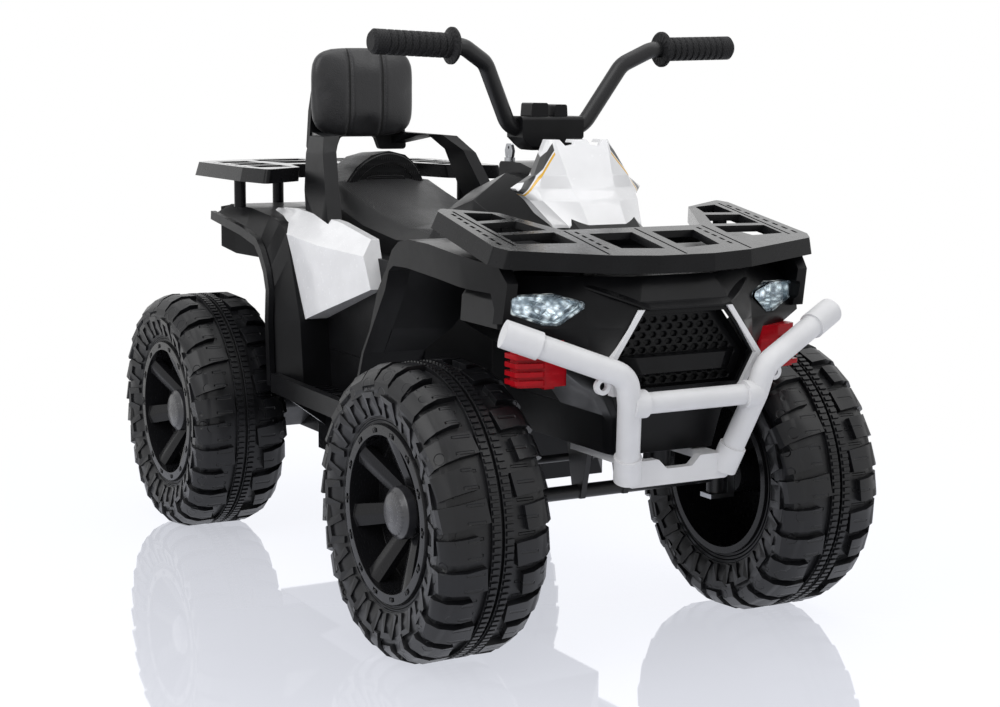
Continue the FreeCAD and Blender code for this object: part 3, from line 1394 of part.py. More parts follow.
def front_rack_place(shape):
    """Tilt a rack piece down towards the front and set it over the hood."""
    return moved(turned(shape, Y_AXIS, RACK_SLOPE), RACK_BACK, 0, RACK_BACK_HEIGHT)


def front_rack_volume():
    """Front rack as a closed slab in its place, for trimming."""
    return front_rack_place(rack_slab(FRONT_RACK_HALF))


SIDE_SLOT_START = 44.0
SIDE_SLOT_LINE = 203.0
SIDE_SLOT_DRIFT = 1.2
INNER_SLOTS = 5
INNER_SLOT_START = 140.0
INNER_SLOT_PITCH = 16.0
INNER_SLOT_LENGTH = 10.0
INNER_SLOT_LINE = 88.0
SIDE_GROOVE = (34, 186)
SIDE_GROOVE_LINE = 196.5
INNER_GROOVE = (134, 236)
INNER_GROOVE_LINE = 100.0
MIDDLE_GROOVE = (134, 246)
FRONT_POSTS = ((83, 165), (190, 100), (190, -100), (83, -165))
FRONT_POST_LENGTH = 70.0


def front_rack():
    """Front carrier: sloped deck with tapered windows, slots, grooves and four posts."""
    cuts = mirrored_windows(FRONT_RACK_WINDOWS)
    for side in (1, -1):
        for index in range(RACK_SLOTS):
            along = SIDE_SLOT_START + index * RACK_SLOT_PITCH
            cuts.append(rack_slot(along, side * (SIDE_SLOT_LINE + index * SIDE_SLOT_DRIFT), RACK_SLOT_LENGTH))
        for index in range(INNER_SLOTS):
            along = INNER_SLOT_START + index * INNER_SLOT_PITCH
            cuts.append(rack_slot(along, side * INNER_SLOT_LINE, INNER_SLOT_LENGTH))
        cuts.append(rack_groove(*SIDE_GROOVE, side * SIDE_GROOVE_LINE))
        cuts.append(rack_groove(*INNER_GROOVE, side * INNER_GROOVE_LINE))
    cuts.append(rack_groove(*MIDDLE_GROOVE, 0))
    deck = front_rack_place(rack_blank(FRONT_RACK_HALF).cut(Part.makeCompound(cuts)))
    posts = []
    for u, v in FRONT_POSTS:
        place = front_rack_place(Part.Vertex(V(u, v, -RACK_DECK))).Point
        post_foot = V(place.x, place.y, place.z - FRONT_POST_LENGTH)
        posts.append(rod(post_foot, V(place.x, place.y, place.z + 1), POST_RADIUS))
    fender = front_fender_volume()
    arch = FENDER_LINE[2:-3]
    below = prism(arch + [(arch[-1][0], TUB_RIM), (arch[0][0], TUB_RIM)], "y", -FENDER_HALF, FENDER_HALF)
    rack = deck.multiFuse(posts).cut(fender).cut(mirrored(fender)).cut(fascia_volume(0)).cut(below)
    return rack.cut(shroud_volume(0))


REAR_SLOT_START = -450.0
REAR_SLOT_LINE = 195.0
REAR_POSTS = ((-345, 193, 470), (-465, 80, BODY_REAR_TOP))
FLARE_POST_ROOM = 12.0


def rear_rack():
    """Rear carrier: flat deck round the backrest, with tapered windows, slots and posts."""
    cuts = mirrored_windows(REAR_RACK_WINDOWS)
    for side in (1, -1):
        for index in range(RACK_SLOTS):
            along = REAR_SLOT_START + index * RACK_SLOT_PITCH
            cuts.append(rack_slot(along, side * REAR_SLOT_LINE, RACK_SLOT_LENGTH))
    deck = moved(rack_blank(REAR_RACK_HALF).cut(Part.makeCompound(cuts)), 0, 0, REAR_RACK_TOP)
    posts = []
    under = REAR_RACK_TOP - RACK_DECK
    for side in (1, -1):
        for x, y, foot in REAR_POSTS:
            posts.append(rod(V(x, side * y, foot), V(x, side * y, under + 1), POST_RADIUS))
    flare = flare_volume()
    arch = FLARE_HIGH_LINE[:3]
    arch_side = arch + [(arch[-1][0], TUB_RIM), (arch[0][0], TUB_RIM)]
    below = prism(arch_side, "y", FLARE_INNER - FLARE_POST_ROOM, FLARE_HALF)
    outside = flare.fuse(below)
    return deck.multiFuse(posts).cut(outside).cut(mirrored(outside))


# Front bumper

BUMPER_END = V(538, 229, 410)
BUMPER_BEND = V(BUMPER_NOSE, 98, 360)
BUMPER_JOINT = V(BUMPER_NOSE - 5, 90, 326)
BUMPER_FOOT = V(547, 70, 236)
BUMPER_BEND_RADIUS = 24.0
BUMPER_EYE_SHARE = 0.82
BUMPER_EYE_RADIUS = 10.0
BUMPER_EYE_HOLE = 5.0
BUMPER_PLATE = [
    (-71, 221), (71, 221), (71, 252), (30, 252), (18, 240), (-18, 240), (-30, 252), (-71, 252),
]
BUMPER_PLATE_HALF = 6.0
TONGUE_SIDES = (42, 62)
TONGUE_REACH = 34.0
TONGUE_HEIGHT = 10.0


def bumper_arm():
    """Left half of the guard: bent arm with its sleeves, lashing eye and tongue to the neck."""
    sleeve = BUMPER_SLEEVE / 2
    arm = bent_tube([BUMPER_END, BUMPER_BEND, BUMPER_JOINT, BUMPER_FOOT], BUMPER_TUBE / 2, BUMPER_BEND_RADIUS)
    inward = (BUMPER_BEND - BUMPER_END).normalize()
    down = (BUMPER_FOOT - BUMPER_JOINT).normalize()
    eye_place = BUMPER_END + (BUMPER_BEND - BUMPER_END) * BUMPER_EYE_SHARE + V(-6, 0, -sleeve - 4)
    rear = NECK_FRONT - TONGUE_REACH
    front = BUMPER_FOOT.x
    inner, outer = TONGUE_SIDES
    tongue_plan = [(rear, inner), (front, inner), (front, outer), (rear, outer)]
    pieces = [
        rod(BUMPER_END - inward * 4, BUMPER_END + inward * 40, sleeve),
        rod(BUMPER_FOOT - down * 26, BUMPER_FOOT + down * 6, sleeve),
        rod(BUMPER_JOINT - Y_AXIS * 20, BUMPER_JOINT, sleeve),
        rod(eye_place - X_AXIS * 3, eye_place + X_AXIS * 3, BUMPER_EYE_RADIUS),
        prism(tongue_plan, "z", NECK_FLOOR - TONGUE_HEIGHT, NECK_FLOOR, 3),
    ]
    return arm.multiFuse(pieces).cut(rod(eye_place - X_AXIS * 5, eye_place + X_AXIS * 5, BUMPER_EYE_HOLE))


def front_bumper():
    """Welded guard: two bent arms, a cross tube, a notched foot plate and two tongues to the neck."""
    left = bumper_arm()
    plate_back = BUMPER_FOOT.x - BUMPER_PLATE_HALF
    plate = prism(BUMPER_PLATE, "x", plate_back, BUMPER_FOOT.x + BUMPER_PLATE_HALF, 5)
    right_joint = V(BUMPER_JOINT.x, -BUMPER_JOINT.y, BUMPER_JOINT.z)
    cross = rod(right_joint, BUMPER_JOINT, BUMPER_TUBE / 2 - BUMPER_BEND_LOSS)
    return left.multiFuse([mirrored(left), plate, cross])


# Seat and backrest

SEAT_STATIONS = [
    (-320, 520, 0.90), (-245, 542, 0.96), (-190, 525, 1.0), (-100, 503, 1.0), (0, 490, 0.97), (74, 492, 0.84),
]


SEAT_FOOT = 430.0
HUMP_FOOT = 500.0
HUMP_FRONT = -222.0
HUMP_LEAN = 0.3
HUMP_STEPS = 8


def seat_volume():
    """Saddle with a crowned top, tapered sides and a raised half-moon hump at the back."""
    sections = []
    for x, top, share in SEAT_STATIONS:
        edge = SEAT_HALF * share
        half = [(edge, SEAT_FOOT), (edge, top - 22), (edge * 0.8, top - 6), (edge * 0.35, top)]
        ring = half + [(-y, z) for y, z in half[::-1]]
        sections.append([V(x, y, z) for y, z in ring])
    saddle = ruled_loft(sections)
    moon = []
    for index in range(HUMP_STEPS + 1):
        turn = math.pi * index / HUMP_STEPS
        moon.append((HUMP_HALF * math.cos(turn), HUMP_FOOT + (HUMP_HEIGHT - HUMP_FOOT) * math.sin(turn)))
    back = [V(SEAT_STATIONS[0][0], y * 0.94, z - 6) for y, z in moon]
    front = [V(HUMP_FRONT - (HUMP_HEIGHT - z) * HUMP_LEAN, y, z) for y, z in moon]
    hump = ruled_loft([back, front])
    return saddle.fuse(hump)


def seat():
    """Seat moulding on the centre body."""
    return seat_volume().cut(body_volume(0)).cut(shroud_volume(0))


PLATE_FRONT = PAD_FRONT - PAD_THICKNESS


ARM_SECTIONS = [
    (-108, -186, 152, 130, 474, 6),
    (-147, -222, 140, 118, 530, 4),
    (-182, -243, 128, 106, 583, 4),
    (-214, -265, 112, 86, 606, 2),
]
ARM_ROOT = [(78, 608), (56, 608), (56, 588), (78, 588)]
PLATE_OUTLINE = [
    (-84, 580), (-38, 580), (-30, 600), (30, 600), (38, 580), (84, 580), (80, 640), (66, PAD_TOP - 14),
    (-66, PAD_TOP - 14), (-80, 640),
]
PLATE_WINDOW = [(-44, 640), (44, 640), (38, 700), (-38, 700)]


def backrest_arm():
    """Left backrest arm: tapered strut from the side cover up to the plate behind the pad."""
    sections = []
    for front, back, outer, inner, height, drop in ARM_SECTIONS:
        low = height - drop
        corners = [(front, outer, low), (front, inner, height), (back, inner, height), (back, outer, low)]
        sections.append([V(*corner) for corner in corners])
    root = PLATE_FRONT - BACKREST_PLATE / 2
    sections.append([V(root, y, z) for y, z in ARM_ROOT])
    return ruled_loft(sections)


def backrest_frame():
    """Backrest carrier: two arms and a plate with an arch below and a window."""
    back = PLATE_FRONT - BACKREST_PLATE
    plate = prism(PLATE_OUTLINE, "x", back, PLATE_FRONT, 6)
    window = prism(PLATE_WINDOW, "x", back - 1, PLATE_FRONT + 1, 8)
    pad_outline = [(-PAD_HALF, PAD_BOTTOM), (PAD_HALF, PAD_BOTTOM), (PAD_HALF, PAD_TOP), (-PAD_HALF, PAD_TOP)]
    arm = backrest_arm().cut(prism(pad_outline, "x", PLATE_FRONT, PAD_FRONT, PAD_CORNER))
    frame = plate.cut(window).multiFuse([arm, mirrored(arm)])
    panel = side_panel_volume(0)
    frame = frame.cut(panel).cut(mirrored(panel)).cut(seat_volume()).cut(body_volume(0))
    flare = flare_volume()
    return frame.cut(flare).cut(mirrored(flare))


PAD_STEPS = [
    (-1.0, 0.50), (-0.94, 0.80), (-0.66, 0.94), (-0.36, 0.90), (-0.33, 0.72), (-0.30, 0.90), (0.0, 1.0),
]
PAD_CORNER_STEPS = [(0.0, 1.0, 0.50), (0.18, 0.42, 0.72), (0.5, 0.13, 0.90), (1.0, 0.0, 1.0)]


def backrest_pad():
    """Soft back pad: crowned front, drawn-in edges, rounded corners and two sewn channels."""
    steps = PAD_STEPS + [(-share, depth) for share, depth in PAD_STEPS[-2::-1]]
    levels = []
    for rise, draw, depth in PAD_CORNER_STEPS:
        levels.append((PAD_BOTTOM + PAD_CORNER * rise, PAD_HALF - PAD_CORNER * draw, depth))
    for rise, draw, depth in PAD_CORNER_STEPS[::-1]:
        levels.append((PAD_TOP - PAD_CORNER * rise, PAD_HALF - PAD_CORNER * draw, depth))
    sections = []
    for height, half, depth in levels:
        front = [V(PLATE_FRONT + PAD_THICKNESS * share_depth * depth, half * share, height)
                 for share, share_depth in steps]
        back = [V(PLATE_FRONT, half, height), V(PLATE_FRONT, -half, height)]
        sections.append(front + back)
    return ruled_loft(sections)


# Tail

TAIL_LAMP_DEPTH = 8.0
TAIL_FACE = TAIL_END + TAIL_LAMP_DEPTH


TAIL_STATIONS = [
    (TUB_REAR, TUB_REAR_HALF, 398, BODY_REAR_TOP, -1),
    (-556, 118, 402, 484, 0),
    (TAIL_FACE, 131, 412, 478, 1),
]
TAIL_CROWN = 0.72
TAIL_LIGHT_FOOT = [(74, 428), (124, 426), (122, 458), (80, 456)]
TAIL_LIGHT_FACE = [(80, 433), (118, 431), (116, 453), (85, 451)]


def tail_volume(inset):
    """Tail moulding behind the centre body; an inset makes its hollow."""
    sections = []
    for station, half, bottom, top, way in TAIL_STATIONS:
        x = station + way * inset
        edge = half - inset
        shoulder = half * TAIL_CROWN
        left = [(edge, bottom + inset), (edge, top - inset * 3), (shoulder, top - inset)]
        ring = left + [(-y, z) for y, z in left[::-1]]
        sections.append([V(x, y, z) for y, z in ring])
    return ruled_loft(sections)


def tail_panel():
    """Rear moulding, hollow, closed at the back."""
    return tail_volume(0).cut(tail_volume(BODY_WALL))


def tail_light():
    """Left rear reflector lens."""
    low = [V(TAIL_FACE, y, z) for y, z in TAIL_LIGHT_FOOT]
    high = [V(TAIL_END, y, z) for y, z in TAIL_LIGHT_FACE]
    return ruled_loft([low, high])


def pair(left_shape):
    """Left piece and its mirror image as one group of two solids."""
    return Part.makeCompound([left_shape, mirrored(left_shape)])


def wheel_pieces():
    """Tyres, rims and caps of the four wheels."""
    tread = tyre()
    cap = hub_cap()
    front_rim = rim(STUB_DIAMETER / 2 + RUNNING_CLEARANCE)
    rear_rim = rim(REAR_AXLE_DIAMETER / 2 + RUNNING_CLEARANCE)
    pieces = {}
    for end, x, wheel_rim in (("front", FRONT_AXLE, front_rim), ("rear", REAR_AXLE, rear_rim)):
        for side_name, side in (("left", 1), ("right", -1)):
            place = end + "_" + side_name
            pieces["tyre_" + place] = wheel_place(tread, x, side)
            pieces["rim_" + place] = wheel_place(wheel_rim, x, side)
            pieces["hub_cap_" + place] = wheel_place(cap, x, side)
    return pieces


def sided(name, left_shape):
    """A left piece and its right twin under sided names."""
    return {name + "_left": left_shape, name + "_right": mirrored(left_shape)}


def all_pieces():
    """Every named piece of the bike."""
    pieces = wheel_pieces()
    pieces.update(sided("knuckle", knuckle()))
    pieces["axle_nut_front_left"] = axle_nut(FRONT_AXLE, 1, STUB_DIAMETER)
    pieces["axle_nut_front_right"] = axle_nut(FRONT_AXLE, -1, STUB_DIAMETER)
    pieces["axle_nuts_rear"] = pair(axle_nut(REAR_AXLE, 1, REAR_AXLE_DIAMETER))
    pieces["front_axle_beam"] = front_axle_beam()
    pieces["tie_rod"] = tie_rod()
    pieces["steering_column"] = steering_column()
    pieces["handlebar"] = handlebar()
    pieces["handlebar_clamp"] = handlebar_clamp()
    pieces.update(sided("grip", grip()))
    pieces["chassis_tub"] = chassis_tub()
    pieces["centre_body"] = centre_body()
    pieces["gearboxes"] = pair(gearbox())
    pieces["drive_motors"] = pair(drive_motor())
    pieces["rear_axle"] = rear_axle()
    pieces["battery"] = battery()
    pieces["control_box"] = control_box()
    pieces["footboard_left"] = footboard(False)
    pieces["footboard_right"] = mirrored(footboard(True))
    pieces["throttle_pedal"] = throttle_pedal()
    pieces["front_fascia"] = front_fascia()
    pieces["headlight_reflectors"] = pair(headlight_reflector())
    pieces["headlight_lenses"] = pair(headlight_lens())
    pieces["grille_mesh"] = grille_mesh()
    pieces["grille_bar"] = grille_bar()
    pieces["grille_trims"] = pair(grille_trim())
    pieces["front_shocks"] = pair(front_shock())
    pieces.update(sided("front_fender", front_fender()))
    pieces.update(sided("rear_flare", rear_flare()))
    pieces.update(sided("side_panel", side_panel()))
    pieces["dash_shroud"] = dash_shroud()
    pieces["ignition_key"] = ignition_key()
    pieces["gear_rocker"] = gear_rocker()
    pieces["nose_fairing"] = nose_fairing()
    pieces["front_rack"] = front_rack()
    pieces["rear_rack"] = rear_rack()
    pieces["front_bumper"] = front_bumper()
    pieces["seat"] = seat()
    pieces["backrest_frame"] = backrest_frame()
    pieces["backrest_pad"] = backrest_pad()
    pieces["tail_panel"] = tail_panel()
    pieces["tail_lights"] = pair(tail_light())
    return pieces


os.makedirs("parts", exist_ok=True)
for node, shape in all_pieces().items():
    shape.exportStep("parts/" + node + ".step")
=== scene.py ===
import json
import math

import bmesh
import bpy
import numpy as np
from mathutils import Matrix, Vector


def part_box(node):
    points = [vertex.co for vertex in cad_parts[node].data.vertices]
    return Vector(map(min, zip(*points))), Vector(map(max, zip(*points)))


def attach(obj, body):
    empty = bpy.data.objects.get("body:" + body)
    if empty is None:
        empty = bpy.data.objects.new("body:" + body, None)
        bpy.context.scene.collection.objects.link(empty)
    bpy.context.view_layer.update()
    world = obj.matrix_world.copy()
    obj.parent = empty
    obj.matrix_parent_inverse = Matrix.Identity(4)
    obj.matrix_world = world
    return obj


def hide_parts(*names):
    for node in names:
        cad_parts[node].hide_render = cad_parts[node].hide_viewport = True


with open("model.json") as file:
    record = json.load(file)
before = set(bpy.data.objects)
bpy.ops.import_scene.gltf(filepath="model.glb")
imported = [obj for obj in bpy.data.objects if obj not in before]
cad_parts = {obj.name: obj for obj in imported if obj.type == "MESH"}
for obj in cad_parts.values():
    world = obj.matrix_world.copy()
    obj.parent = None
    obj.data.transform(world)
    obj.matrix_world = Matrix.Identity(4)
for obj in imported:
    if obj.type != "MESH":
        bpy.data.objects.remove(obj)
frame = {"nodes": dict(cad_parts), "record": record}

bl_info = {
    "name": "Kids quad bike",
    "version": (1, 0, 0),
    "blender": (4, 5, 0),
    "location": "3D View > Sidebar > Quad bike",
    "description": "Finishes, tyre blocks, trims, back pad and studio for a child's electric quad bike",
    "category": "Object",
}

WHITE = (1.0, 1.0, 1.0, 1.0)
WHEELS = ("front_left", "front_right", "rear_left", "rear_right")

# Studio: the point that the lamps face, the middle of the view and the camera's sensor in millimetres
LAMP_TARGET = (0.1, 0.0, 0.3)
VIEW_TARGET = (0.122411, 0.0, 0.31765)
SENSOR_WIDTH = 36.0

# Meshes, in metres: how close points are one, in a made piece and in a node; and the angle of a sharp edge
SAME_POINT = 1e-7
NODE_WELD = 0.00002
SHARP_EDGE = math.radians(34.0)

# Back pad's cover: frames of the simulation and how stiff the cover is
CLOTH_FRAMES = 20
CLOTH_STIFFNESS = 25.0

# Tyres, in metres: radius of the centre band, and the half width of the wall at four radii
TREAD_BAND = 0.177
WALL_RADII = (0.112, 0.131, 0.148, 0.164)
WALL_HALVES = (0.058, 0.067, 0.069, 0.063)

# Front fascia, in metres: three heights, and at each the half widths with the front face there
FASCIA_HEIGHTS = (0.410, 0.440, 0.468)
FASCIA_FACES = (
    ((0.084, 0.559), (0.118, 0.530), (0.216, 0.494)),
    ((0.062, 0.555), (0.116, 0.528), (0.214, 0.490)),
    ((0.050, 0.541), (0.112, 0.516), (0.196, 0.462)),
)

# Seat hump, in metres: half width, heights, the face's place at the top and its lean, and the slot's height
HUMP_HALF = 0.073
HUMP_TOP = 0.582
HUMP_FOOT = 0.500
HUMP_FACE = -0.222
HUMP_LEAN = 0.3
HUMP_SLOT = 0.535


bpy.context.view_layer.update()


def colour_setting(name, description, default):
    """A colour that a user may change."""
    return bpy.props.FloatVectorProperty(
        name=name, description=description, subtype="COLOR", size=4, min=0.0, max=1.0, default=default)


def length_setting(name, description, default):
    """A length in metres that a user may change."""
    return bpy.props.FloatProperty(
        name=name, description=description, default=default, unit="LENGTH", subtype="DISTANCE", precision=4)


def number_setting(name, description, default, **more):
    """A number that a user may change, with a unit or subtype where one fits."""
    return bpy.props.FloatProperty(name=name, description=description, default=default, **more)


class QuadFinishes(bpy.types.PropertyGroup):
    """Colours of the mouldings, covers, rubber and metal."""

    moulding: colour_setting("Moulding", "Fine-grained black body plastic", (0.0050, 0.0051, 0.0058, 1.0))
    cover: colour_setting("Cover", "Gloss white covers", (0.80, 0.80, 0.81, 1.0))
    guard: colour_setting("Guard", "White powder coat of the bumper", (0.74, 0.74, 0.75, 1.0))
    rubber: colour_setting("Tyre", "Tyre rubber", (0.0058, 0.0060, 0.0072, 1.0))
    rim: colour_setting("Rim", "Gloss black wheel moulding", (0.008, 0.008, 0.009, 1.0))
    cap: colour_setting("Hub cap", "Dark moulding of the hub caps", (0.030, 0.030, 0.034, 1.0))
    shock: colour_setting("Shock", "Red shock absorbers", (0.40, 0.004, 0.010, 1.0))
    lens: colour_setting("Lens", "Clear lamp lens", (0.90, 0.95, 1.0, 1.0))
    tail: colour_setting("Reflector", "Red tail reflector", (0.42, 0.008, 0.010, 1.0))
    steel: colour_setting("Steel", "Bare steel", (0.42, 0.43, 0.45, 1.0))
    tube: colour_setting("Tube", "Black powder coat of bar and linkage", (0.012, 0.012, 0.013, 1.0))
    grip: colour_setting("Grip", "Grip rubber", (0.012, 0.012, 0.013, 1.0))
    vinyl: colour_setting("Back pad", "Black cover of the back pad", (0.014, 0.014, 0.0155, 1.0))
    casing: colour_setting("Casing", "Plain inner cases", (0.045, 0.046, 0.050, 1.0))
    accent: colour_setting("Accent", "Warm stripe on the white covers", (0.75, 0.42, 0.03, 1.0))
    edge_round: length_setting("Edge rounding", "Radius on the moulded edges", 0.0016)


class QuadPad(bpy.types.PropertyGroup):
    """Shape of the padded backrest."""

    swell: length_setting("Swell", "Most that the cover may swell", 0.004)
    channel_depth: length_setting("Channel depth", "Depth of the two sewn channels", 0.0056)
    channel_width: length_setting("Channel width", "Half width of a sewn channel", 0.0026)
    voxel: length_setting("Cloth grid", "Grid size of the simulated cover", 0.0036)
    fullness: length_setting("Fullness", "How far each side stands out before the cover swells", 0.0020)
    calm: bpy.props.IntProperty(
        name="Calm", description="Passes that take out small creases", default=14, min=0)
    pressure: number_setting("Pressure", "Filling pressure", 4.0, min=0.0)


class QuadStage(bpy.types.PropertyGroup):
    """Floor, lamps and camera of the studio."""

    floor: colour_setting("Floor", "Pale floor", (0.84, 0.85, 0.90, 1.0))
    floor_white: number_setting("Floor white", "Share of plain white in the floor near the bike", 0.80)
    sky: number_setting("Sky", "Strength of the soft light all round", 0.52)
    key: number_setting("Key lamp", "Power of the key lamp", 54.0, unit="POWER")
    top: number_setting("Top lamp", "Power of the top lamp", 24.0, unit="POWER")
    side: number_setting("Side lamp", "Power of the side lamp", 12.0, unit="POWER")
    azimuth: number_setting(
        "Azimuth", "Turn of the camera round the bike", math.radians(60.307), subtype="ANGLE")
    elevation: number_setting(
        "Elevation", "Height angle of the camera", math.radians(8.546), subtype="ANGLE")
    roll: number_setting("Roll", "Tilt of the camera", math.radians(0.497), subtype="ANGLE")
    distance: length_setting("Distance", "Camera to the middle of the view", 2.52462)
    focal: number_setting("Focal length", "Lens in millimetres", 66.038)


class Shade:
    """A socket in a material; an expression on it adds Math nodes."""

    def __init__(self, tree, socket):
        self.tree = tree
        self.socket = socket

    def node(self, kind, settings=None, inputs=None, output=0):
        """Add a node of a type, with its settings and the values or links of its sockets."""
        made = self.tree.nodes.new(kind)
        for key, value in (settings or {}).items():
            if key == "stops":
                ramp = made.color_ramp.elements
                while len(ramp) < len(value):
                    ramp.new(1.0)
                for element, (place, colour) in zip(ramp, value):
                    element.position = place
                    element.color = colour
            else:
                setattr(made, key, value)
        for key, value in (inputs or {}).items():
            if isinstance(value, Shade):
                self.tree.links.new(value.socket, made.inputs[key])
            else:
                made.inputs[key].default_value = value
        return Shade(self.tree, made.outputs[output])

    def math(self, operation, *values):
        """Math node on values or sockets, in their order."""
        return self.node("ShaderNodeMath", {"operation": operation}, dict(enumerate(values)))

    def __add__(self, other):
        return self.math("ADD", self, other)

    __radd__ = __add__

    def __mul__(self, other):
        return self.math("MULTIPLY", self, other)

    __rmul__ = __mul__

    def __sub__(self, other):
        return self.math("SUBTRACT", self, other)

    def __rsub__(self, other):
        return self.math("SUBTRACT", other, self)

    def sine(self):
        """Sine of the value."""
        return self.math("SINE", self)

    def root(self):
        """Square root of the value."""
        return self.math("SQRT", self)

    def size(self):
        """Value without its sign."""
        return self.math("ABSOLUTE", self)

    def band(self, low, high):
        """Smooth step from 0 at low to 1 at high."""
        return self.node("ShaderNodeMapRange", {"interpolation_type": "SMOOTHSTEP"},
                         {"Value": self, "From Min": low, "From Max": high})

    def inside(self, low, high, edge):
        """1 between low and high, with a soft edge at both."""
        return self.band(low, low + edge) * (1.0 - self.band(high, high + edge))

    def near(self, place, half, edge):
        """1 within half of a place, with a soft edge."""
        return 1.0 - (self - place).size().band(half, half + edge)

    def split(self):
        """The three parts of a vector."""
        parts = self.node("ShaderNodeSeparateXYZ", None, {"Vector": self}).socket.node.outputs
        return [Shade(self.tree, part) for part in parts]

    def noise(self, scale, detail=2.0):
        """Noise from 0 to 1 at a scale per metre."""
        return self.node("ShaderNodeTexNoise", None, {"Vector": self, "Scale": scale, "Detail": detail})

    def cells(self, scale):
        """Distance in a field of cells at a scale per metre."""
        return self.node("ShaderNodeTexVoronoi", {"feature": "F1"}, {"Vector": self, "Scale": scale})

    def stretched(self, x, y, z):
        """Coordinates scaled along the three axes."""
        return self.node("ShaderNodeMapping", None, {"Vector": self, "Scale": (x, y, z)})

    def mix(self, first, second):
        """Colour between two colours, with this value as the share of the second."""
        return self.node(
            "ShaderNodeMix", {"data_type": "RGBA"}, {"Factor": self, 6: first, 7: second}, output=2)


class Finish:
    """A material being made: its shader and its coordinates on the object."""

    def __init__(self, name, constants):
        self.material = bpy.data.materials.new(name)
        self.material.use_nodes = True
        tree = self.material.node_tree
        self.shader = tree.nodes["Principled BSDF"]
        self.place = Shade(tree, tree.nodes.new("ShaderNodeTexCoord").outputs["Object"])
        for key, value in constants.items():
            self.shader.inputs[key].default_value = value

    def feed(self, key, shade):
        """Link a varying value to a socket of the shader."""
        self.material.node_tree.links.new(shade.socket, self.shader.inputs[key])

    def relief(self, height, depth, strength=1.0, under=None):
        """Bump of a depth in metres, on top of another bump where one is given."""
        inputs = {"Height": height, "Distance": depth, "Strength": strength}
        if under is not None:
            inputs["Normal"] = under
        bump = height.node("ShaderNodeBump", None, inputs)
        self.feed("Normal", bump)
        return bump


def tinted(colour, factor):
    """A colour made lighter or darker, with full opacity."""
    return (colour[0] * factor, colour[1] * factor, colour[2] * factor, 1.0)


def moulded_plastic(name, colour, roughness, grain=1500.0, depth=0.00012, gloss=0.4, index=1.5):
    """Fine-grained moulding: pinhead grain, faint flow marks and a gloss that shows along the surface."""
    flow_scale = 22.0
    wear_scale = 70.0
    wear = 0.14
    finish = Finish(name, {"Specular IOR Level": 0.14, "Coat Roughness": 0.18, "Coat IOR": index})
    place = finish.place
    facing = place.node("ShaderNodeLayerWeight", None, {"Blend": 0.5}, output=1)
    finish.feed("Coat Weight", facing.band(0.55, 0.95) * gloss)
    flow = place.noise(flow_scale, 3.0)
    fine = place.noise(grain)
    worn = place.noise(wear_scale, 4.0)
    finish.feed("Base Color", flow.band(0.3, 0.75).mix(tinted(colour, 0.85), tinted(colour, 1.35)))
    finish.feed("Roughness", worn * wear + (roughness - wear / 2))
    finish.relief(fine, depth, strength=0.55)
    return finish.material


def dotted_saddle(name, colour):
    """Seat moulding: rows of small raised dots on its top, smooth on its sides."""
    dots_per_metre = 900.0
    dot_height = 0.0007
    cloud_scale = 60.0
    grain_scale = 1500.0
    grain_depth = 0.00012
    top_half = (0.070, 0.082)
    finish = Finish(name, {"Specular IOR Level": 0.32, "Sheen Weight": 0.30, "Sheen Roughness": 0.3})
    place = finish.place
    x, y, _ = place.split()
    top = 1.0 - y.size().band(*top_half)
    left = (x * dots_per_metre + y * dots_per_metre).sine()
    right = (x * dots_per_metre - y * dots_per_metre).sine()
    dots = (left * right).band(0.2, 0.7) * top
    cloud = place.noise(cloud_scale, 4.0)
    finish.feed("Base Color", cloud.mix(tinted(colour, 0.85), tinted(colour, 1.3)))
    finish.feed("Roughness", cloud * 0.12 + 0.33)
    first = finish.relief(place.noise(grain_scale), grain_depth, strength=0.5)
    finish.relief(dots, dot_height, strength=0.8, under=first)
    return finish.material


def gloss_plastic(name, colour, roughness, coat, level=0.35):
    """Smooth gloss moulding with a faint ripple and fine scuffs."""
    ripple_scale = 45.0
    ripple_depth = 0.00008
    scuff_scale = 160.0
    scuff_stretch = 6.0
    finish = Finish(name, {"Coat Roughness": 0.08, "Coat Weight": coat, "Specular IOR Level": level})
    place = finish.place
    ripple = place.noise(ripple_scale)
    scuff = place.stretched(1.0, scuff_stretch, 1.0).noise(scuff_scale, 4.0)
    finish.feed("Base Color", ripple.band(0.25, 0.8).mix(tinted(colour, 0.96), tinted(colour, 1.03)))
    finish.feed("Roughness", scuff.band(0.45, 0.8) * 0.12 + roughness)
    finish.relief(ripple, ripple_depth, strength=0.3)
    return finish.material


def white_cover(name, colour, accent, dark, stripe):
    """Gloss white cover with a small generic set of slanted bands inside a window."""
    ripple_scale = 40.0
    ripple_depth = 0.00006
    scuff_scale = 140.0
    window_edge = 0.001
    band_edge = 0.0006
    finish = Finish(name, {"Coat Weight": 0.5, "Coat Roughness": 0.06})
    place = finish.place
    _, y, z = place.split()
    ripple = place.noise(ripple_scale)
    base = ripple.band(0.2, 0.8).mix(tinted(colour, 0.97), tinted(colour, 1.02))
    side = y.size()
    window = side.inside(stripe["inner"], stripe["outer"], window_edge)
    window = window * z.inside(stripe["low"], stripe["high"], window_edge)
    slope = side * stripe["lean"] + z
    dark_mask = window * slope.near(stripe["dark_at"], stripe["dark_half"], band_edge)
    warm_mask = window * slope.near(stripe["warm_at"], stripe["warm_half"], band_edge)
    scuff = place.noise(scuff_scale, 4.0).band(0.5, 0.8)
    finish.feed("Base Color", warm_mask.mix(dark_mask.mix(base, dark), accent))
    finish.feed("Roughness", dark_mask * 0.12 + scuff * 0.1 + 0.2)
    finish.relief(ripple, ripple_depth, strength=0.3)
    return finish.material


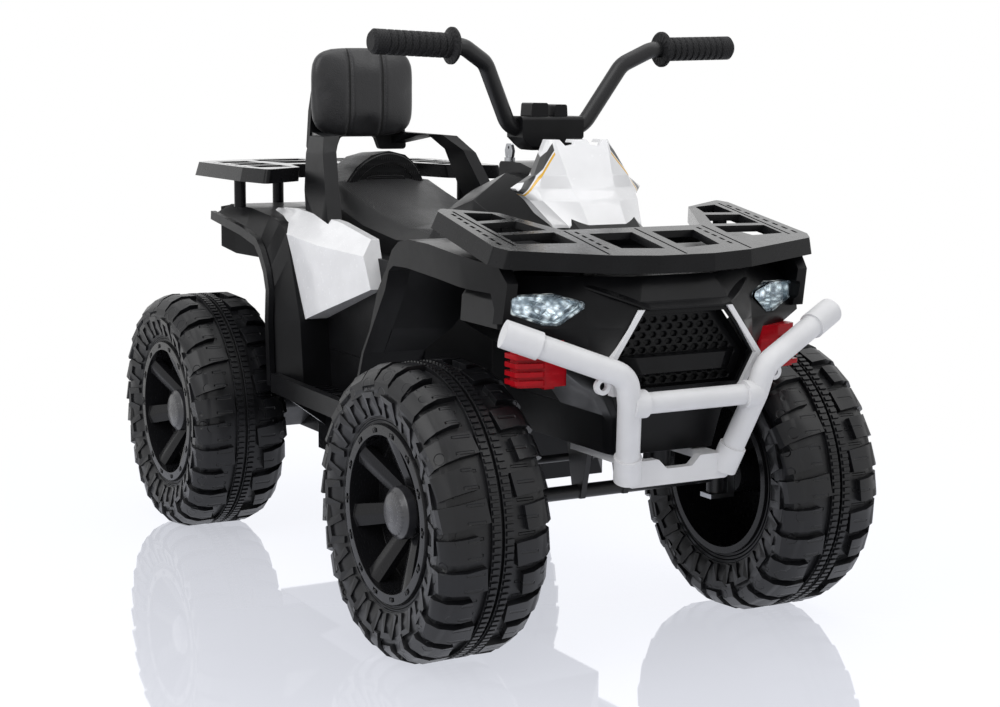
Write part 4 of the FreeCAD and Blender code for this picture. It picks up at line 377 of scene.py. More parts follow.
def powder_coat(name, colour, roughness):
    """Powder-coated metal: orange peel, and broad patches of slightly darker and lighter tone."""
    peel_scale = 700.0
    peel_depth = 0.00018
    cloud_scale = 18.0
    cloud_wear = 0.1
    finish = Finish(name, {"Specular IOR Level": 0.36})
    place = finish.place
    skin = place.noise(peel_scale)
    cloud = place.noise(cloud_scale, 3.0)
    finish.feed("Base Color", cloud.band(0.3, 0.75).mix(tinted(colour, 0.94), tinted(colour, 1.03)))
    finish.feed("Roughness", cloud * cloud_wear + (roughness - cloud_wear / 2))
    finish.relief(skin, peel_depth, strength=0.5)
    return finish.material


def wheel_place(place, centre):
    """Radius and angle round a wheel's axle, and the distance from the wheel's middle along the axle."""
    x, y, z = place.split()
    from_x = x - centre[0]
    from_z = z - centre[2]
    radius = (from_x * from_x + from_z * from_z).root()
    angle = from_z.math("ARCTAN2", from_z, from_x)
    across = (y - centre[1]).size()
    return radius, angle, across


def tyre_rubber(name, colour, centre):
    """Tyre: fine rings by the rim, chipped shoulders, cuts across the lugs and a dusty grain."""
    ring_radius = 0.117
    rings_per_metre = 1400.0
    chip_scale = 48.0
    cuts = 56.0
    grain_scale = 900.0
    dust_scale = 30.0
    grain_depth = 0.00025
    wall_depth = 0.0030
    cut_depth = 0.0034
    finish = Finish(name, {"Specular IOR Level": 0.34})
    place = finish.place
    radius, angle, across = wheel_place(place, centre)
    wall = across.band(0.052, 0.060)
    ring = ((radius - ring_radius) * rings_per_metre).sine() * (1.0 - radius.band(0.1165, 0.1175))
    chips = place.cells(chip_scale).band(0.30, 0.36) * radius.band(0.146, 0.152)
    cut = (angle * cuts).sine().band(0.80, 0.95)
    cut = cut * across.band(0.022, 0.023) * (1.0 - across.band(0.044, 0.046))
    grain = place.noise(grain_scale, 3.0)
    dust = place.noise(dust_scale, 4.0)
    finish.feed("Base Color", dust.band(0.35, 0.8).mix(tinted(colour, 0.8), tinted(colour, 1.45)))
    finish.feed("Roughness", dust * 0.14 + 0.30)
    first = finish.relief(grain, grain_depth, strength=0.5)
    second = finish.relief(wall * (ring * 0.3 + chips * 0.5), wall_depth, strength=1.0, under=first)
    finish.relief(1.0 - cut, cut_depth, strength=1.0, under=second)
    return finish.material


def ringed_cap(name, colour, centre):
    """Hub cap with turned rings and a ring of small ribs."""
    rings_per_metre = 2600.0
    rib_count = 24.0
    rib_height = 0.0009
    cloud_scale = 60.0
    finish = Finish(name, {"Coat Weight": 0.25, "Coat Roughness": 0.2})
    place = finish.place
    radius, angle, _ = wheel_place(place, centre)
    rings = (radius * rings_per_metre).sine() * (1.0 - radius.band(0.011, 0.013))
    ribs = (angle * rib_count).sine().band(-0.3, 0.3) * radius.inside(0.016, 0.025, 0.002)
    cloud = place.noise(cloud_scale, 3.0)
    finish.feed("Base Color", cloud.mix(tinted(colour, 0.95), tinted(colour, 1.08)))
    finish.feed("Roughness", cloud * 0.05 + 0.30)
    finish.relief(rings * 0.2 + ribs, rib_height, strength=0.8)
    return finish.material


def knurled_rubber(name, colour, centre):
    """Grip rubber: diamond knurl from two crossing waves along and round the grip."""
    waves_along = 1600.0
    waves_round = 16.0
    knurl_depth = 0.0007
    dust_scale = 60.0
    grain_scale = 1200.0
    grain_depth = 0.00012
    finish = Finish(name, {"Specular IOR Level": 0.17})
    place = finish.place
    x, y, z = place.split()
    angle = (z - centre[2]).math("ARCTAN2", z - centre[2], x - centre[0])
    left = (y * waves_along + angle * waves_round).sine()
    right = (y * waves_along - angle * waves_round).sine()
    dust = place.noise(dust_scale, 3.0)
    finish.feed("Base Color", dust.mix(tinted(colour, 0.8), tinted(colour, 1.4)))
    finish.feed("Roughness", dust * 0.15 + 0.48)
    first = finish.relief(place.noise(grain_scale), grain_depth, strength=0.5)
    finish.relief((left + right).band(-0.4, 1.2), knurl_depth, strength=0.8, under=first)
    return finish.material


def brushed_steel(name, colour, roughness):
    """Steel with fine lines along one way and light stains."""
    line_scale = 900.0
    line_stretch = 0.06
    line_depth = 0.00008
    stain_scale = 35.0
    finish = Finish(name, {})
    place = finish.place
    lines = place.stretched(1.0, line_stretch, 1.0).noise(line_scale, 3.0)
    stain = place.noise(stain_scale, 4.0)
    finish.feed("Base Color", stain.band(0.3, 0.8).mix(tinted(colour, 1.0), tinted(colour, 0.7)))
    finish.feed("Roughness", lines * 0.18 + roughness)
    finish.feed("Metallic", 1.0 - stain.band(0.62, 0.85) * 0.35)
    finish.relief(lines, line_depth, strength=0.5)
    return finish.material


def clear_lens(name, colour):
    """Clear lens with upright flutes pressed into it."""
    flutes_across = 520.0
    flutes_up = 260.0
    flute_depth = 0.0002
    constants = {"Transmission Weight": 1.0, "IOR": 1.22, "Roughness": 0.0, "Base Color": tuple(colour)}
    finish = Finish(name, constants)
    _, y, z = finish.place.split()
    flutes = (y * flutes_across).sine() + (z * flutes_up).sine() * 0.3
    finish.relief(flutes, flute_depth, strength=0.3)
    return finish.material


def lamp_bowl(name):
    """Metallised bowl with small facets; painted glints: each facet is painted lighter or darker and given
    a faint glow, in place of reflected light.
    """
    facet_scale = 115.0
    facet_depth = 0.0015
    # Painted glints: the unlit bowl gets a faint glow and lighter or darker metal by facet, standing in for
    # reflected light
    glint_painted_glow = (0.93, 1.0, 0.98, 1.0)
    glint_painted_dim = (0.03, 0.04, 0.05, 1.0)
    facet_painted_highlight = (0.96, 0.98, 0.98, 1.0)
    facet_painted_shade = (0.36, 0.40, 0.42, 1.0)
    finish = Finish(name, {"Metallic": 1.0, "Emission Strength": 0.40})
    facets = finish.place.cells(facet_scale)
    # Painted glints and painted shade, facet by facet: glow and metal colour brightest at each facet's
    # middle
    finish.feed("Emission Color", facets.band(0.12, 0.62).mix(glint_painted_glow, glint_painted_dim))
    finish.feed("Base Color", facets.band(0.05, 0.75).mix(facet_painted_highlight, facet_painted_shade))
    finish.feed("Roughness", facets * 0.2 + 0.1)
    finish.relief(facets, facet_depth, strength=0.9)
    return finish.material


def prism_reflector(name, colour):
    """Red reflector with a field of small cube corners, each painted lighter at its middle and darker at
    its edges as painted reflection and shade.
    """
    corner_scale = 330.0
    corner_depth = 0.0009
    finish = Finish(name, {"Coat Weight": 0.8, "Coat Roughness": 0.05})
    corners = finish.place.cells(corner_scale)
    # Painted reflection and shade: the red is lighter at each corner's middle and darker at its edges
    finish.feed("Base Color", corners.band(0.1, 0.8).mix(tinted(colour, 1.3), tinted(colour, 0.45)))
    finish.feed("Roughness", corners * 0.15 + 0.15)
    finish.relief(corners, corner_depth, strength=0.7)
    return finish.material


def padded_vinyl(name, colour, channels, box):
    """Soft black cover: leather cells, creases painted darker in their hollows as painted shade, seams
    painted near black as painted shade in their grooves, and a row of stitches on each side of the seams.
    """
    grain_scale = 520.0
    grain_depth = 0.00035
    crease_scale = 95.0
    crease_depth = 0.0006
    stitch_aside = 0.0042
    stitch_waves = 1250.0
    stitch_depth = 0.0006
    front = (box[0][0] + 0.014, box[0][0] + 0.018)
    finish = Finish(name, {"Specular IOR Level": 0.42, "Sheen Weight": 0.10})
    place = finish.place
    x, y, z = place.split()
    grain = place.cells(grain_scale)
    crease = place.noise(crease_scale, 4.0)
    dash = (z * stitch_waves).sine().band(-0.1, 0.2)
    first_shaded_seam, second_shaded_seam = [y.near(channel, 0.0008, 0.0012) for channel in channels]
    shaded_seam = first_shaded_seam + second_shaded_seam
    rows = [channel + aside for channel in channels for aside in (-stitch_aside, stitch_aside)]
    lines = [y.near(row, 0.0004, 0.0005) for row in rows]
    stitches = sum(lines) * dash * x.band(*front)
    # Painted shade: darker in the hollows of the creases and lighter on their ridges; the stitches are a
    # lighter thread
    cover = stitches.mix(crease.mix(tinted(colour, 0.8), tinted(colour, 1.3)), tinted(colour, 1.9))
    # Painted shade: the seams are painted near black for the shade in their grooves
    finish.feed("Base Color", shaded_seam.mix(cover, tinted(colour, 0.1)))
    finish.feed("Roughness", crease * 0.18 + shaded_seam * 0.5 + 0.27)
    first = finish.relief(grain, grain_depth, strength=0.6)
    second = finish.relief(crease, crease_depth, strength=0.4, under=first)
    finish.relief(stitches, stitch_depth, strength=0.7, under=second)
    return finish.material


def shiny_red(name, colour):
    """Gloss red moulding with faint flow lines."""
    flow_scale = 40.0
    flow_stretch = 4.0
    flow_depth = 0.0003
    finish = Finish(name, {"Coat Weight": 0.05, "Coat Roughness": 0.1, "Specular IOR Level": 0.12})
    flow = finish.place.stretched(1.0, 1.0, flow_stretch).noise(flow_scale, 3.0)
    finish.feed("Base Color", flow.band(0.3, 0.8).mix(tinted(colour, 0.85), tinted(colour, 1.1)))
    finish.feed("Roughness", flow * 0.12 + 0.2)
    finish.relief(flow, flow_depth, strength=0.4)
    return finish.material


def mesh_piece(name, points, faces, material, body, smooth=False):
    """Object at the origin from an array of points and an array of quads, riding on a body."""
    mesh = bpy.data.meshes.new(name)
    mesh.from_pydata(points.reshape(-1, 3).tolist(), [], faces.reshape(-1, 4).tolist())
    work = bmesh.new()
    work.from_mesh(mesh)
    bmesh.ops.remove_doubles(work, verts=work.verts, dist=SAME_POINT)
    bmesh.ops.recalc_face_normals(work, faces=work.faces)
    work.to_mesh(mesh)
    work.free()
    mesh.polygons.foreach_set("use_smooth", np.full(len(mesh.polygons), smooth))
    mesh.materials.append(material)
    piece = bpy.data.objects.new(name, mesh)
    bpy.context.scene.collection.objects.link(piece)
    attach(piece, body)
    return piece


def grid_faces(rows, columns, wrap_rows=False):
    """Quads of a grid of points, counted row by row, closed round its columns, and its rows where asked."""
    row = np.arange(rows if wrap_rows else rows - 1)[:, None]
    column = np.arange(columns)[None, :]
    next_row = (row + 1) % rows
    next_column = (column + 1) % columns
    corners = [row * columns + column, row * columns + next_column,
               next_row * columns + next_column, next_row * columns + column]
    return np.stack(np.broadcast_arrays(*corners), axis=-1)


def closed_strip(rows, columns):
    """Quads of a four-sided bar: its long sides and a quad at each end."""
    end = np.arange(columns)
    caps = np.stack([end, end + (rows - 1) * columns])
    return np.concatenate([grid_faces(rows, columns).reshape(-1, 4), caps])


def signed_power(values, power):
    """Power of the size of each value, with its sign kept."""
    return np.sign(values) * np.abs(values) ** power


def pillow(box, rows=33, columns=96):
    """Boxy pillow: a superellipse outline carried from the back pole to the front pole.

    Width and height follow cosine of the way across to a power, depth follows its sine.
    """
    fall_power = 0.34
    depth_power = 0.62
    corner_power = 0.43
    low = np.array(box[0])
    high = np.array(box[1])
    middle = (low + high) / 2
    half = (high - low) / 2
    across = np.linspace(-math.pi / 2, math.pi / 2, rows)[:, None]
    turn = np.linspace(0.0, 2 * math.pi, columns, endpoint=False)[None, :]
    ring = np.abs(np.cos(across)) ** fall_power
    x = middle[0] + half[0] * signed_power(np.sin(across), depth_power)
    y = middle[1] + half[1] * ring * signed_power(np.cos(turn), corner_power)
    z = middle[2] + half[2] * ring * signed_power(np.sin(turn), corner_power)
    return np.stack(np.broadcast_arrays(x, y, z), axis=-1)


def baked_copy(piece):
    """Mesh of a piece with its modifiers worked in."""
    graph = bpy.context.evaluated_depsgraph_get()
    return bpy.data.meshes.new_from_object(piece.evaluated_get(graph))


def points_of(mesh):
    """Points of a mesh as an array."""
    flat = np.empty(len(mesh.vertices) * 3)
    mesh.vertices.foreach_get("co", flat)
    return flat.reshape(-1, 3)


def remeshed(piece, voxel):
    """Replace a piece's mesh by an even grid of small faces."""
    remesh = piece.modifiers.new("Grid", "REMESH")
    remesh.mode = "VOXEL"
    remesh.voxel_size = voxel
    remesh.use_smooth_shade = True
    mesh = baked_copy(piece)
    piece.modifiers.remove(remesh)
    piece.data = mesh


def inflated(piece, pressure, most):
    """Points of the piece after its cover is blown up, none moved more than most."""
    start = points_of(piece.data)
    cloth = piece.modifiers.new("Cover", "CLOTH")
    cloth.settings.use_pressure = True
    cloth.settings.uniform_pressure_force = pressure
    cloth.settings.effector_weights.gravity = 0.0
    cloth.settings.tension_stiffness = CLOTH_STIFFNESS
    cloth.settings.compression_stiffness = CLOTH_STIFFNESS
    for step in range(1, CLOTH_FRAMES + 1):
        bpy.context.scene.frame_set(step)
    moved = points_of(baked_copy(piece))
    bpy.context.scene.frame_set(1)
    piece.modifiers.remove(cloth)
    shift = moved - start
    length = np.linalg.norm(shift, axis=1)[:, None]
    return start + shift * np.minimum(1.0, most / np.maximum(length, SAME_POINT))


def calmed(piece, points, passes):
    """Points after some passes that draw each towards its neighbours and so take out small creases."""
    piece.data.vertices.foreach_set("co", points.ravel())
    calm = piece.modifiers.new("Calm", "SMOOTH")
    calm.factor = 0.5
    calm.iterations = passes
    moved = points_of(baked_copy(piece))
    piece.modifiers.remove(calm)
    return moved


def dress(node, material, rounding):
    """Give a CAD node its finish and round its moulded edges."""
    piece = frame["nodes"][node]
    piece.data.materials.clear()
    piece.data.materials.append(material)
    piece.data.polygons.foreach_set("use_smooth", np.ones(len(piece.data.polygons), dtype=bool))
    weld = piece.modifiers.new("Join", "WELD")
    weld.merge_threshold = NODE_WELD
    if rounding > 0.0:
        bevel = piece.modifiers.new("Edges", "BEVEL")
        bevel.width = rounding
        bevel.segments = 2
        bevel.limit_method = "ANGLE"
        bevel.angle_limit = SHARP_EDGE
        bevel.use_clamp_overlap = True
    weighted = piece.modifiers.new("Shading", "WEIGHTED_NORMAL")
    weighted.keep_sharp = False
    weighted.weight = 50


def nodes_in_slots(*slots):
    """Names of the CAD nodes whose finish is one of these slots."""
    return [part["node"] for part in frame["record"]["subparts"] if part["material_slot"] in slots]


def middle_of(node):
    """Centre of a node's box."""
    low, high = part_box(node)
    return [(low[axis] + high[axis]) / 2 for axis in range(3)]


class QUAD_OT_wheels(bpy.types.Operator):
    """Finish the tyres, rims and caps, and add the bolts, tread teeth and wall blocks"""

    bl_idname = "quad.wheels"
    bl_label = "Wheels"

    def execute(self, context):
        colours = context.scene.quad_finishes
        rim = gloss_plastic("rim_gloss_black", colours.rim, roughness=0.22, coat=0.03, level=0.20)
        for wheel in WHEELS:
            centre = middle_of("tyre_" + wheel)
            rubber = tyre_rubber("tyre_rubber_" + wheel, colours.rubber, centre)
            cap = ringed_cap("hub_cap_" + wheel + "_finish", colours.cap, centre)
            dress("tyre_" + wheel, rubber, rounding=0.0012)
            dress("rim_" + wheel, rim, colours.edge_round)
            dress("hub_cap_" + wheel, cap, rounding=0.0010)
            self.bolts(wheel, centre, rim)
            self.teeth(wheel, centre, rubber)
            self.wall_blocks(wheel, centre, rubber)
        return {"FINISHED"}

    def round_axle(self, centre, radius, angle, across):
        """Points at a radius and an angle round the axle, and a distance across from the wheel's middle."""
        x = centre[0] + radius * np.cos(angle)
        y = centre[1] + across
        z = centre[2] + radius * np.sin(angle)
        return np.stack(np.broadcast_arrays(x, y, z), axis=-1)

    def teeth(self, wheel, centre, material):
        """Two rows of small teeth on the centre band: each is a low block, narrower at its top."""
        count = 132
        pitch = 2 * math.pi / count
        foot_share = 0.36
        top_share = 0.72
        inner_side = 0.0032
        outer_side = 0.0134
        draft = 0.0006
        sunk = 0.0006
        height = 0.0024
        row = np.array([-1.0, 1.0])[:, None, None]
        tooth = pitch * np.arange(count)[None, :, None]
        foot_turn = pitch * foot_share * np.array([-1, 1, 1, -1])
        foot_across = np.array([inner_side, inner_side, outer_side, outer_side])
        top_across = foot_across + draft * np.array([1, 1, -1, -1])
        corner_turn = np.concatenate([foot_turn, foot_turn * top_share])
        corner_across = np.concatenate([foot_across, top_across])
        corner_radius = np.repeat([TREAD_BAND - sunk, TREAD_BAND + height], 4)
        points = self.round_axle(centre, corner_radius, tooth + corner_turn, row * corner_across)
        sides = [[4, 5, 6, 7], [0, 1, 5, 4], [1, 2, 6, 5], [2, 3, 7, 6], [3, 0, 4, 7], [3, 2, 1, 0]]
        faces = np.array(sides) + 8 * np.arange(2 * count)[:, None, None]
        mesh_piece("tread_teeth_" + wheel, points, faces, material, "wheel_" + wheel)

    def wall_blocks(self, wheel, centre, material):
        """U-shaped ridges round both walls: an outer and an inner U, raised off the wall's own slope."""
        count = 18
        pitch = 2 * math.pi / count
        sunk = 0.0010
        height = 0.0034
        side = np.array([-1.0, 1.0])[:, None, None]
        block = pitch * np.arange(count)[None, :, None]
        outer_turn = pitch * np.array([-0.44, -0.30, 0.30, 0.44])
        outer_radius = np.array([0.1200, 0.1470, 0.1470, 0.1200])
        inner_turn = pitch * np.array([-0.25, -0.13, 0.13, 0.25])
        inner_radius = np.array([0.1180, 0.1395, 0.1395, 0.1180])
        turn = np.tile(np.concatenate([outer_turn, inner_turn]), 2)
        radius = np.tile(np.concatenate([outer_radius, inner_radius]), 2)
        wall = np.interp(radius, WALL_RADII, WALL_HALVES)
        lift = np.repeat([-sunk, height], 8)
        points = self.round_axle(centre, radius, block + turn, side * (wall + lift))
        step = np.arange(3)[:, None]
        top = np.concatenate([8 + step, 9 + step, 13 + step, 12 + step], axis=1)
        outside = np.concatenate([step, step + 1, step + 9, step + 8], axis=1)
        inside = np.concatenate([step + 5, step + 4, step + 12, step + 13], axis=1)
        ends = np.array([[4, 0, 8, 12], [3, 7, 15, 11]])
        faces = np.concatenate([top, top - 8, outside, inside, ends])
        faces = faces + 16 * np.arange(2 * count)[:, None, None]
        mesh_piece("wall_blocks_" + wheel, points, faces, material, "wheel_" + wheel)

    def bolts(self, wheel, centre, material):
        """Domed heads in a ring: a stepped profile turned about each bolt's own axis."""
        count = 14
        sides = 8
        reach = 0.1012
        sunk = 0.0004
        profile_radius = np.array([0.0, 0.0030, 0.0030, 0.0022, 0.0])
        profile_height = np.array([-0.0030, -0.0030, 0.0008, 0.0018, 0.0021])
        low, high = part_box("rim_" + wheel)
        outward = 1.0 if centre[1] > 0 else -1.0
        face = high[1] if outward > 0 else low[1]
        turn = np.linspace(0.0, 2 * math.pi, sides, endpoint=False)
        place = np.linspace(0.0, 2 * math.pi, count, endpoint=False)[:, None, None]
        radius = profile_radius[None, :, None]
        x = centre[0] + reach * np.cos(place) + radius * np.cos(turn)
        y = face + outward * (profile_height[None, :, None] - sunk)
        z = centre[2] + reach * np.sin(place) + radius * np.sin(turn)
        points = np.stack(np.broadcast_arrays(x, y, z), axis=-1)
        ring = grid_faces(len(profile_radius), sides)
        faces = ring[None] + len(profile_radius) * sides * np.arange(count)[:, None, None, None]
        mesh_piece("rim_bolts_" + wheel, points, faces, material, "wheel_" + wheel, True)


class QUAD_OT_bodywork(bpy.types.Operator):
    """Finish the mouldings, covers, guard and shock absorbers, and add the brow and the seat's trims"""

    bl_idname = "quad.bodywork"
    bl_label = "Bodywork"

    def execute(self, context):
        colours = context.scene.quad_finishes
        black = moulded_plastic("body_moulding_black", colours.moulding, roughness=0.34)
        shelf = moulded_plastic(
            "rack_moulding_black", colours.moulding, roughness=0.28, gloss=1.0, index=2.0)
        saddle = dotted_saddle("saddle_dotted_black", colours.moulding)
        own = {"front_rack": shelf, "rear_rack": shelf, "seat": saddle}
        for node in nodes_in_slots("body_black"):
            dress(node, own.get(node, black), colours.edge_round)
        panel = gloss_plastic("side_cover_white", colours.cover, roughness=0.2, coat=0.5)
        dress("side_panel_left", panel, colours.edge_round)
        dress("side_panel_right", panel, colours.edge_round)
        dress("nose_fairing", self.fairing_white(colours), rounding=0.0018)
        trim = gloss_plastic("trim_white", colours.cover, roughness=0.24, coat=0.4)
        dress("grille_trims", trim, rounding=0.0012)
        guard = powder_coat("guard_white_coat", colours.guard, roughness=0.42)
        dress("front_bumper", guard, rounding=0.0010)
        dress("front_shocks", shiny_red("shock_red_gloss", colours.shock), rounding=0.0015)
        self.brow(black)
        self.seat_band(saddle)
        self.seat_slot(saddle)
        return {"FINISHED"}

    def fairing_white(self, colours):
        """White of the fairing, with a dark and a warm band across its side facets."""
        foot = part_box("nose_fairing")[0][2]
        bands = {
            "inner": 0.041, "outer": 0.090, "low": foot + 0.030, "high": foot + 0.118, "lean": 1.22,
            "dark_at": 0.6590, "dark_half": 0.0042, "warm_at": 0.6510, "warm_half": 0.0014,
        }
        dark = tinted(colours.moulding, 1.5)
        return white_cover("fairing_white", colours.cover, colours.accent, dark, bands)

    def brow(self, material):
        """Raised brow over the grille: a wedge profile carried along a line that rises towards the lamps.

        The fascia's face is read off its three upper levels: across at each level, then between levels.
        """
        half = 0.118
        fade_length = 0.030
        line_sides = [0.0, 0.052, 0.062, half]
        line_heights = [0.4315, 0.4315, 0.4345, 0.4565]
        rise = np.array([0.0085, 0.0010, -0.0012, -0.0030])
        proud = np.array([-0.0020, 0.0060, 0.0054, -0.0020])
        across = np.linspace(-half, half, 61)[:, None]
        z = np.interp(np.abs(across), line_sides, line_heights) + rise
        y = np.broadcast_to(across, z.shape)
        low, middle, high = FASCIA_HEIGHTS
        low_face, middle_face, high_face = [
            np.interp(np.abs(y), *np.transpose(level)) for level in FASCIA_FACES]
        lower = low_face + (middle_face - low_face) * (z - low) / (middle - low)
        upper = middle_face + (high_face - middle_face) * (z - middle) / (high - middle)
        fade = np.clip((half - np.abs(y)) / fade_length, 0.0, 1.0)
        x = np.where(z < middle, lower, upper) + np.where(proud > 0, proud * fade, proud)
        points = np.stack([x, y, z], axis=-1)
        mesh_piece("fascia_brow", points, closed_strip(*z.shape), material, "chassis")

    def on_hump(self, y, z, proud):
        """Points on the hump's sloped face, standing proud of it."""
        x = HUMP_FACE - (HUMP_TOP - z) * HUMP_LEAN + proud
        return np.stack([x, y, z], axis=-1)

    def seat_band(self, material):
        """Raised arch on the seat's hump: a low profile carried round a half circle on its sloped face."""
        end_gap = 0.06
        turn = np.linspace(end_gap, math.pi - end_gap, 49)[:, None]
        reach = np.array([0.97, 0.94, 0.79, 0.76])
        proud = np.array([-0.0015, 0.0036, 0.0036, -0.0015])
        y = HUMP_HALF * reach * np.cos(turn)
        z = HUMP_FOOT + (HUMP_TOP - HUMP_FOOT) * reach * np.sin(turn)
        points = self.on_hump(y, z, proud)
        mesh_piece("seat_hump_band", points, closed_strip(*z.shape), material, "chassis")

    def seat_slot(self, material):
        """Rim round the slot at the hump's foot: a low profile carried round a boxy oval on its face."""
        half_width = 0.031
        half_height = 0.0075
        corner_power = 0.4
        turn = np.linspace(0.0, 2 * math.pi, 64, endpoint=False)[:, None]
        grow = np.array([0.0024, 0.0014, -0.0010, -0.0020])
        proud = np.array([-0.0015, 0.0030, 0.0030, -0.0015])
        y = (half_width + grow) * signed_power(np.cos(turn), corner_power)
        z = HUMP_SLOT + (half_height + grow) * signed_power(np.sin(turn), corner_power)
        points = self.on_hump(y, z, proud)
        faces = grid_faces(*z.shape, wrap_rows=True)
        mesh_piece("seat_slot_rim", points, faces, material, "chassis")


class QUAD_OT_steering(bpy.types.Operator):
    """Finish the handlebar, grips, linkage and steel pieces"""

    bl_idname = "quad.steering"
    bl_label = "Steering"

    def execute(self, context):
        colours = context.scene.quad_finishes
        tube = powder_coat("tube_black_coat", colours.tube, roughness=0.38)
        for node in nodes_in_slots("bar_black"):
            dress(node, tube, rounding=0.0008)
        for node in nodes_in_slots("grip_rubber"):
            dress(node, knurled_rubber(node + "_rubber", colours.grip, middle_of(node)), rounding=0.0008)
        steel = brushed_steel("bare_steel", colours.steel, roughness=0.28)
        for node in nodes_in_slots("steel"):
            dress(node, steel, rounding=0.0006)
        return {"FINISHED"}


class QUAD_OT_drive(bpy.types.Operator):
    """Finish the gearboxes, motors, battery and control box"""

    bl_idname = "quad.drive"
    bl_label = "Drive"

    def execute(self, context):
        colours = context.scene.quad_finishes
        case = moulded_plastic("plain_casing", colours.casing, roughness=0.5, grain=900.0, depth=0.0002)
        for node in nodes_in_slots("inner_grey"):
            dress(node, case, rounding=0.0010)
        return {"FINISHED"}


class QUAD_OT_lamps(bpy.types.Operator):
    """Finish the lenses, bowls and reflectors"""

    bl_idname = "quad.lamps"
    bl_label = "Lamps"

    def execute(self, context):
        colours = context.scene.quad_finishes
        dress("headlight_lenses", clear_lens("lamp_lens_clear", colours.lens), rounding=0.0008)
        dress("headlight_reflectors", lamp_bowl("lamp_bowl_metal"), rounding=0.0)
        dress("tail_lights", prism_reflector("tail_reflector_red", colours.tail), rounding=0.0008)
        return {"FINISHED"}


class QUAD_OT_back_pad(bpy.types.Operator):
    """Make the padded backrest with its two sewn channels"""

    bl_idname = "quad.back_pad"
    bl_label = "Back pad"

    def execute(self, context):
        colours = context.scene.quad_finishes
        pad = context.scene.quad_pad
        inset_share = 0.8
        channel_shares = (0.333, 0.667)
        front_share = 0.3
        crown = 0.002
        low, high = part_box("backrest_pad")
        inset = pad.swell * inset_share
        start_low = (low[0], low[1] - pad.fullness, low[2] + inset / 2)
        start_high = (high[0] - inset, high[1] + pad.fullness, high[2] - inset / 2)
        channels = [low[1] + (high[1] - low[1]) * share for share in channel_shares]
        vinyl = padded_vinyl("pad_black_cover", colours.vinyl, channels, (low, high))
        shape = pillow((start_low, start_high))
        faces = grid_faces(*shape.shape[:2])
        piece = mesh_piece("backrest_cushion", shape, faces, vinyl, "chassis", True)
        remeshed(piece, pad.voxel)
        points = points_of(piece.data)
        points = inflated(piece, pad.pressure, pad.swell)
        points = calmed(piece, points, pad.calm)
        front = (points[:, 0] - low[0]) / (high[0] - low[0]) > front_share
        for channel in channels:
            dip = np.exp(-((points[:, 1] - channel) / pad.channel_width) ** 2)
            points[:, 0] -= pad.channel_depth * dip * front
        points[:, 0] = np.clip(points[:, 0], low[0], high[0] + crown)
        piece.data.vertices.foreach_set("co", points.ravel())
        piece.data.polygons.foreach_set("use_smooth", np.ones(len(piece.data.polygons), dtype=bool))
        if not piece.data.materials:
            piece.data.materials.append(vinyl)
        smooth = piece.modifiers.new("Fine", "SUBSURF")
        smooth.levels = 1
        smooth.render_levels = 1
        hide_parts("backrest_pad")
        return {"FINISHED"}


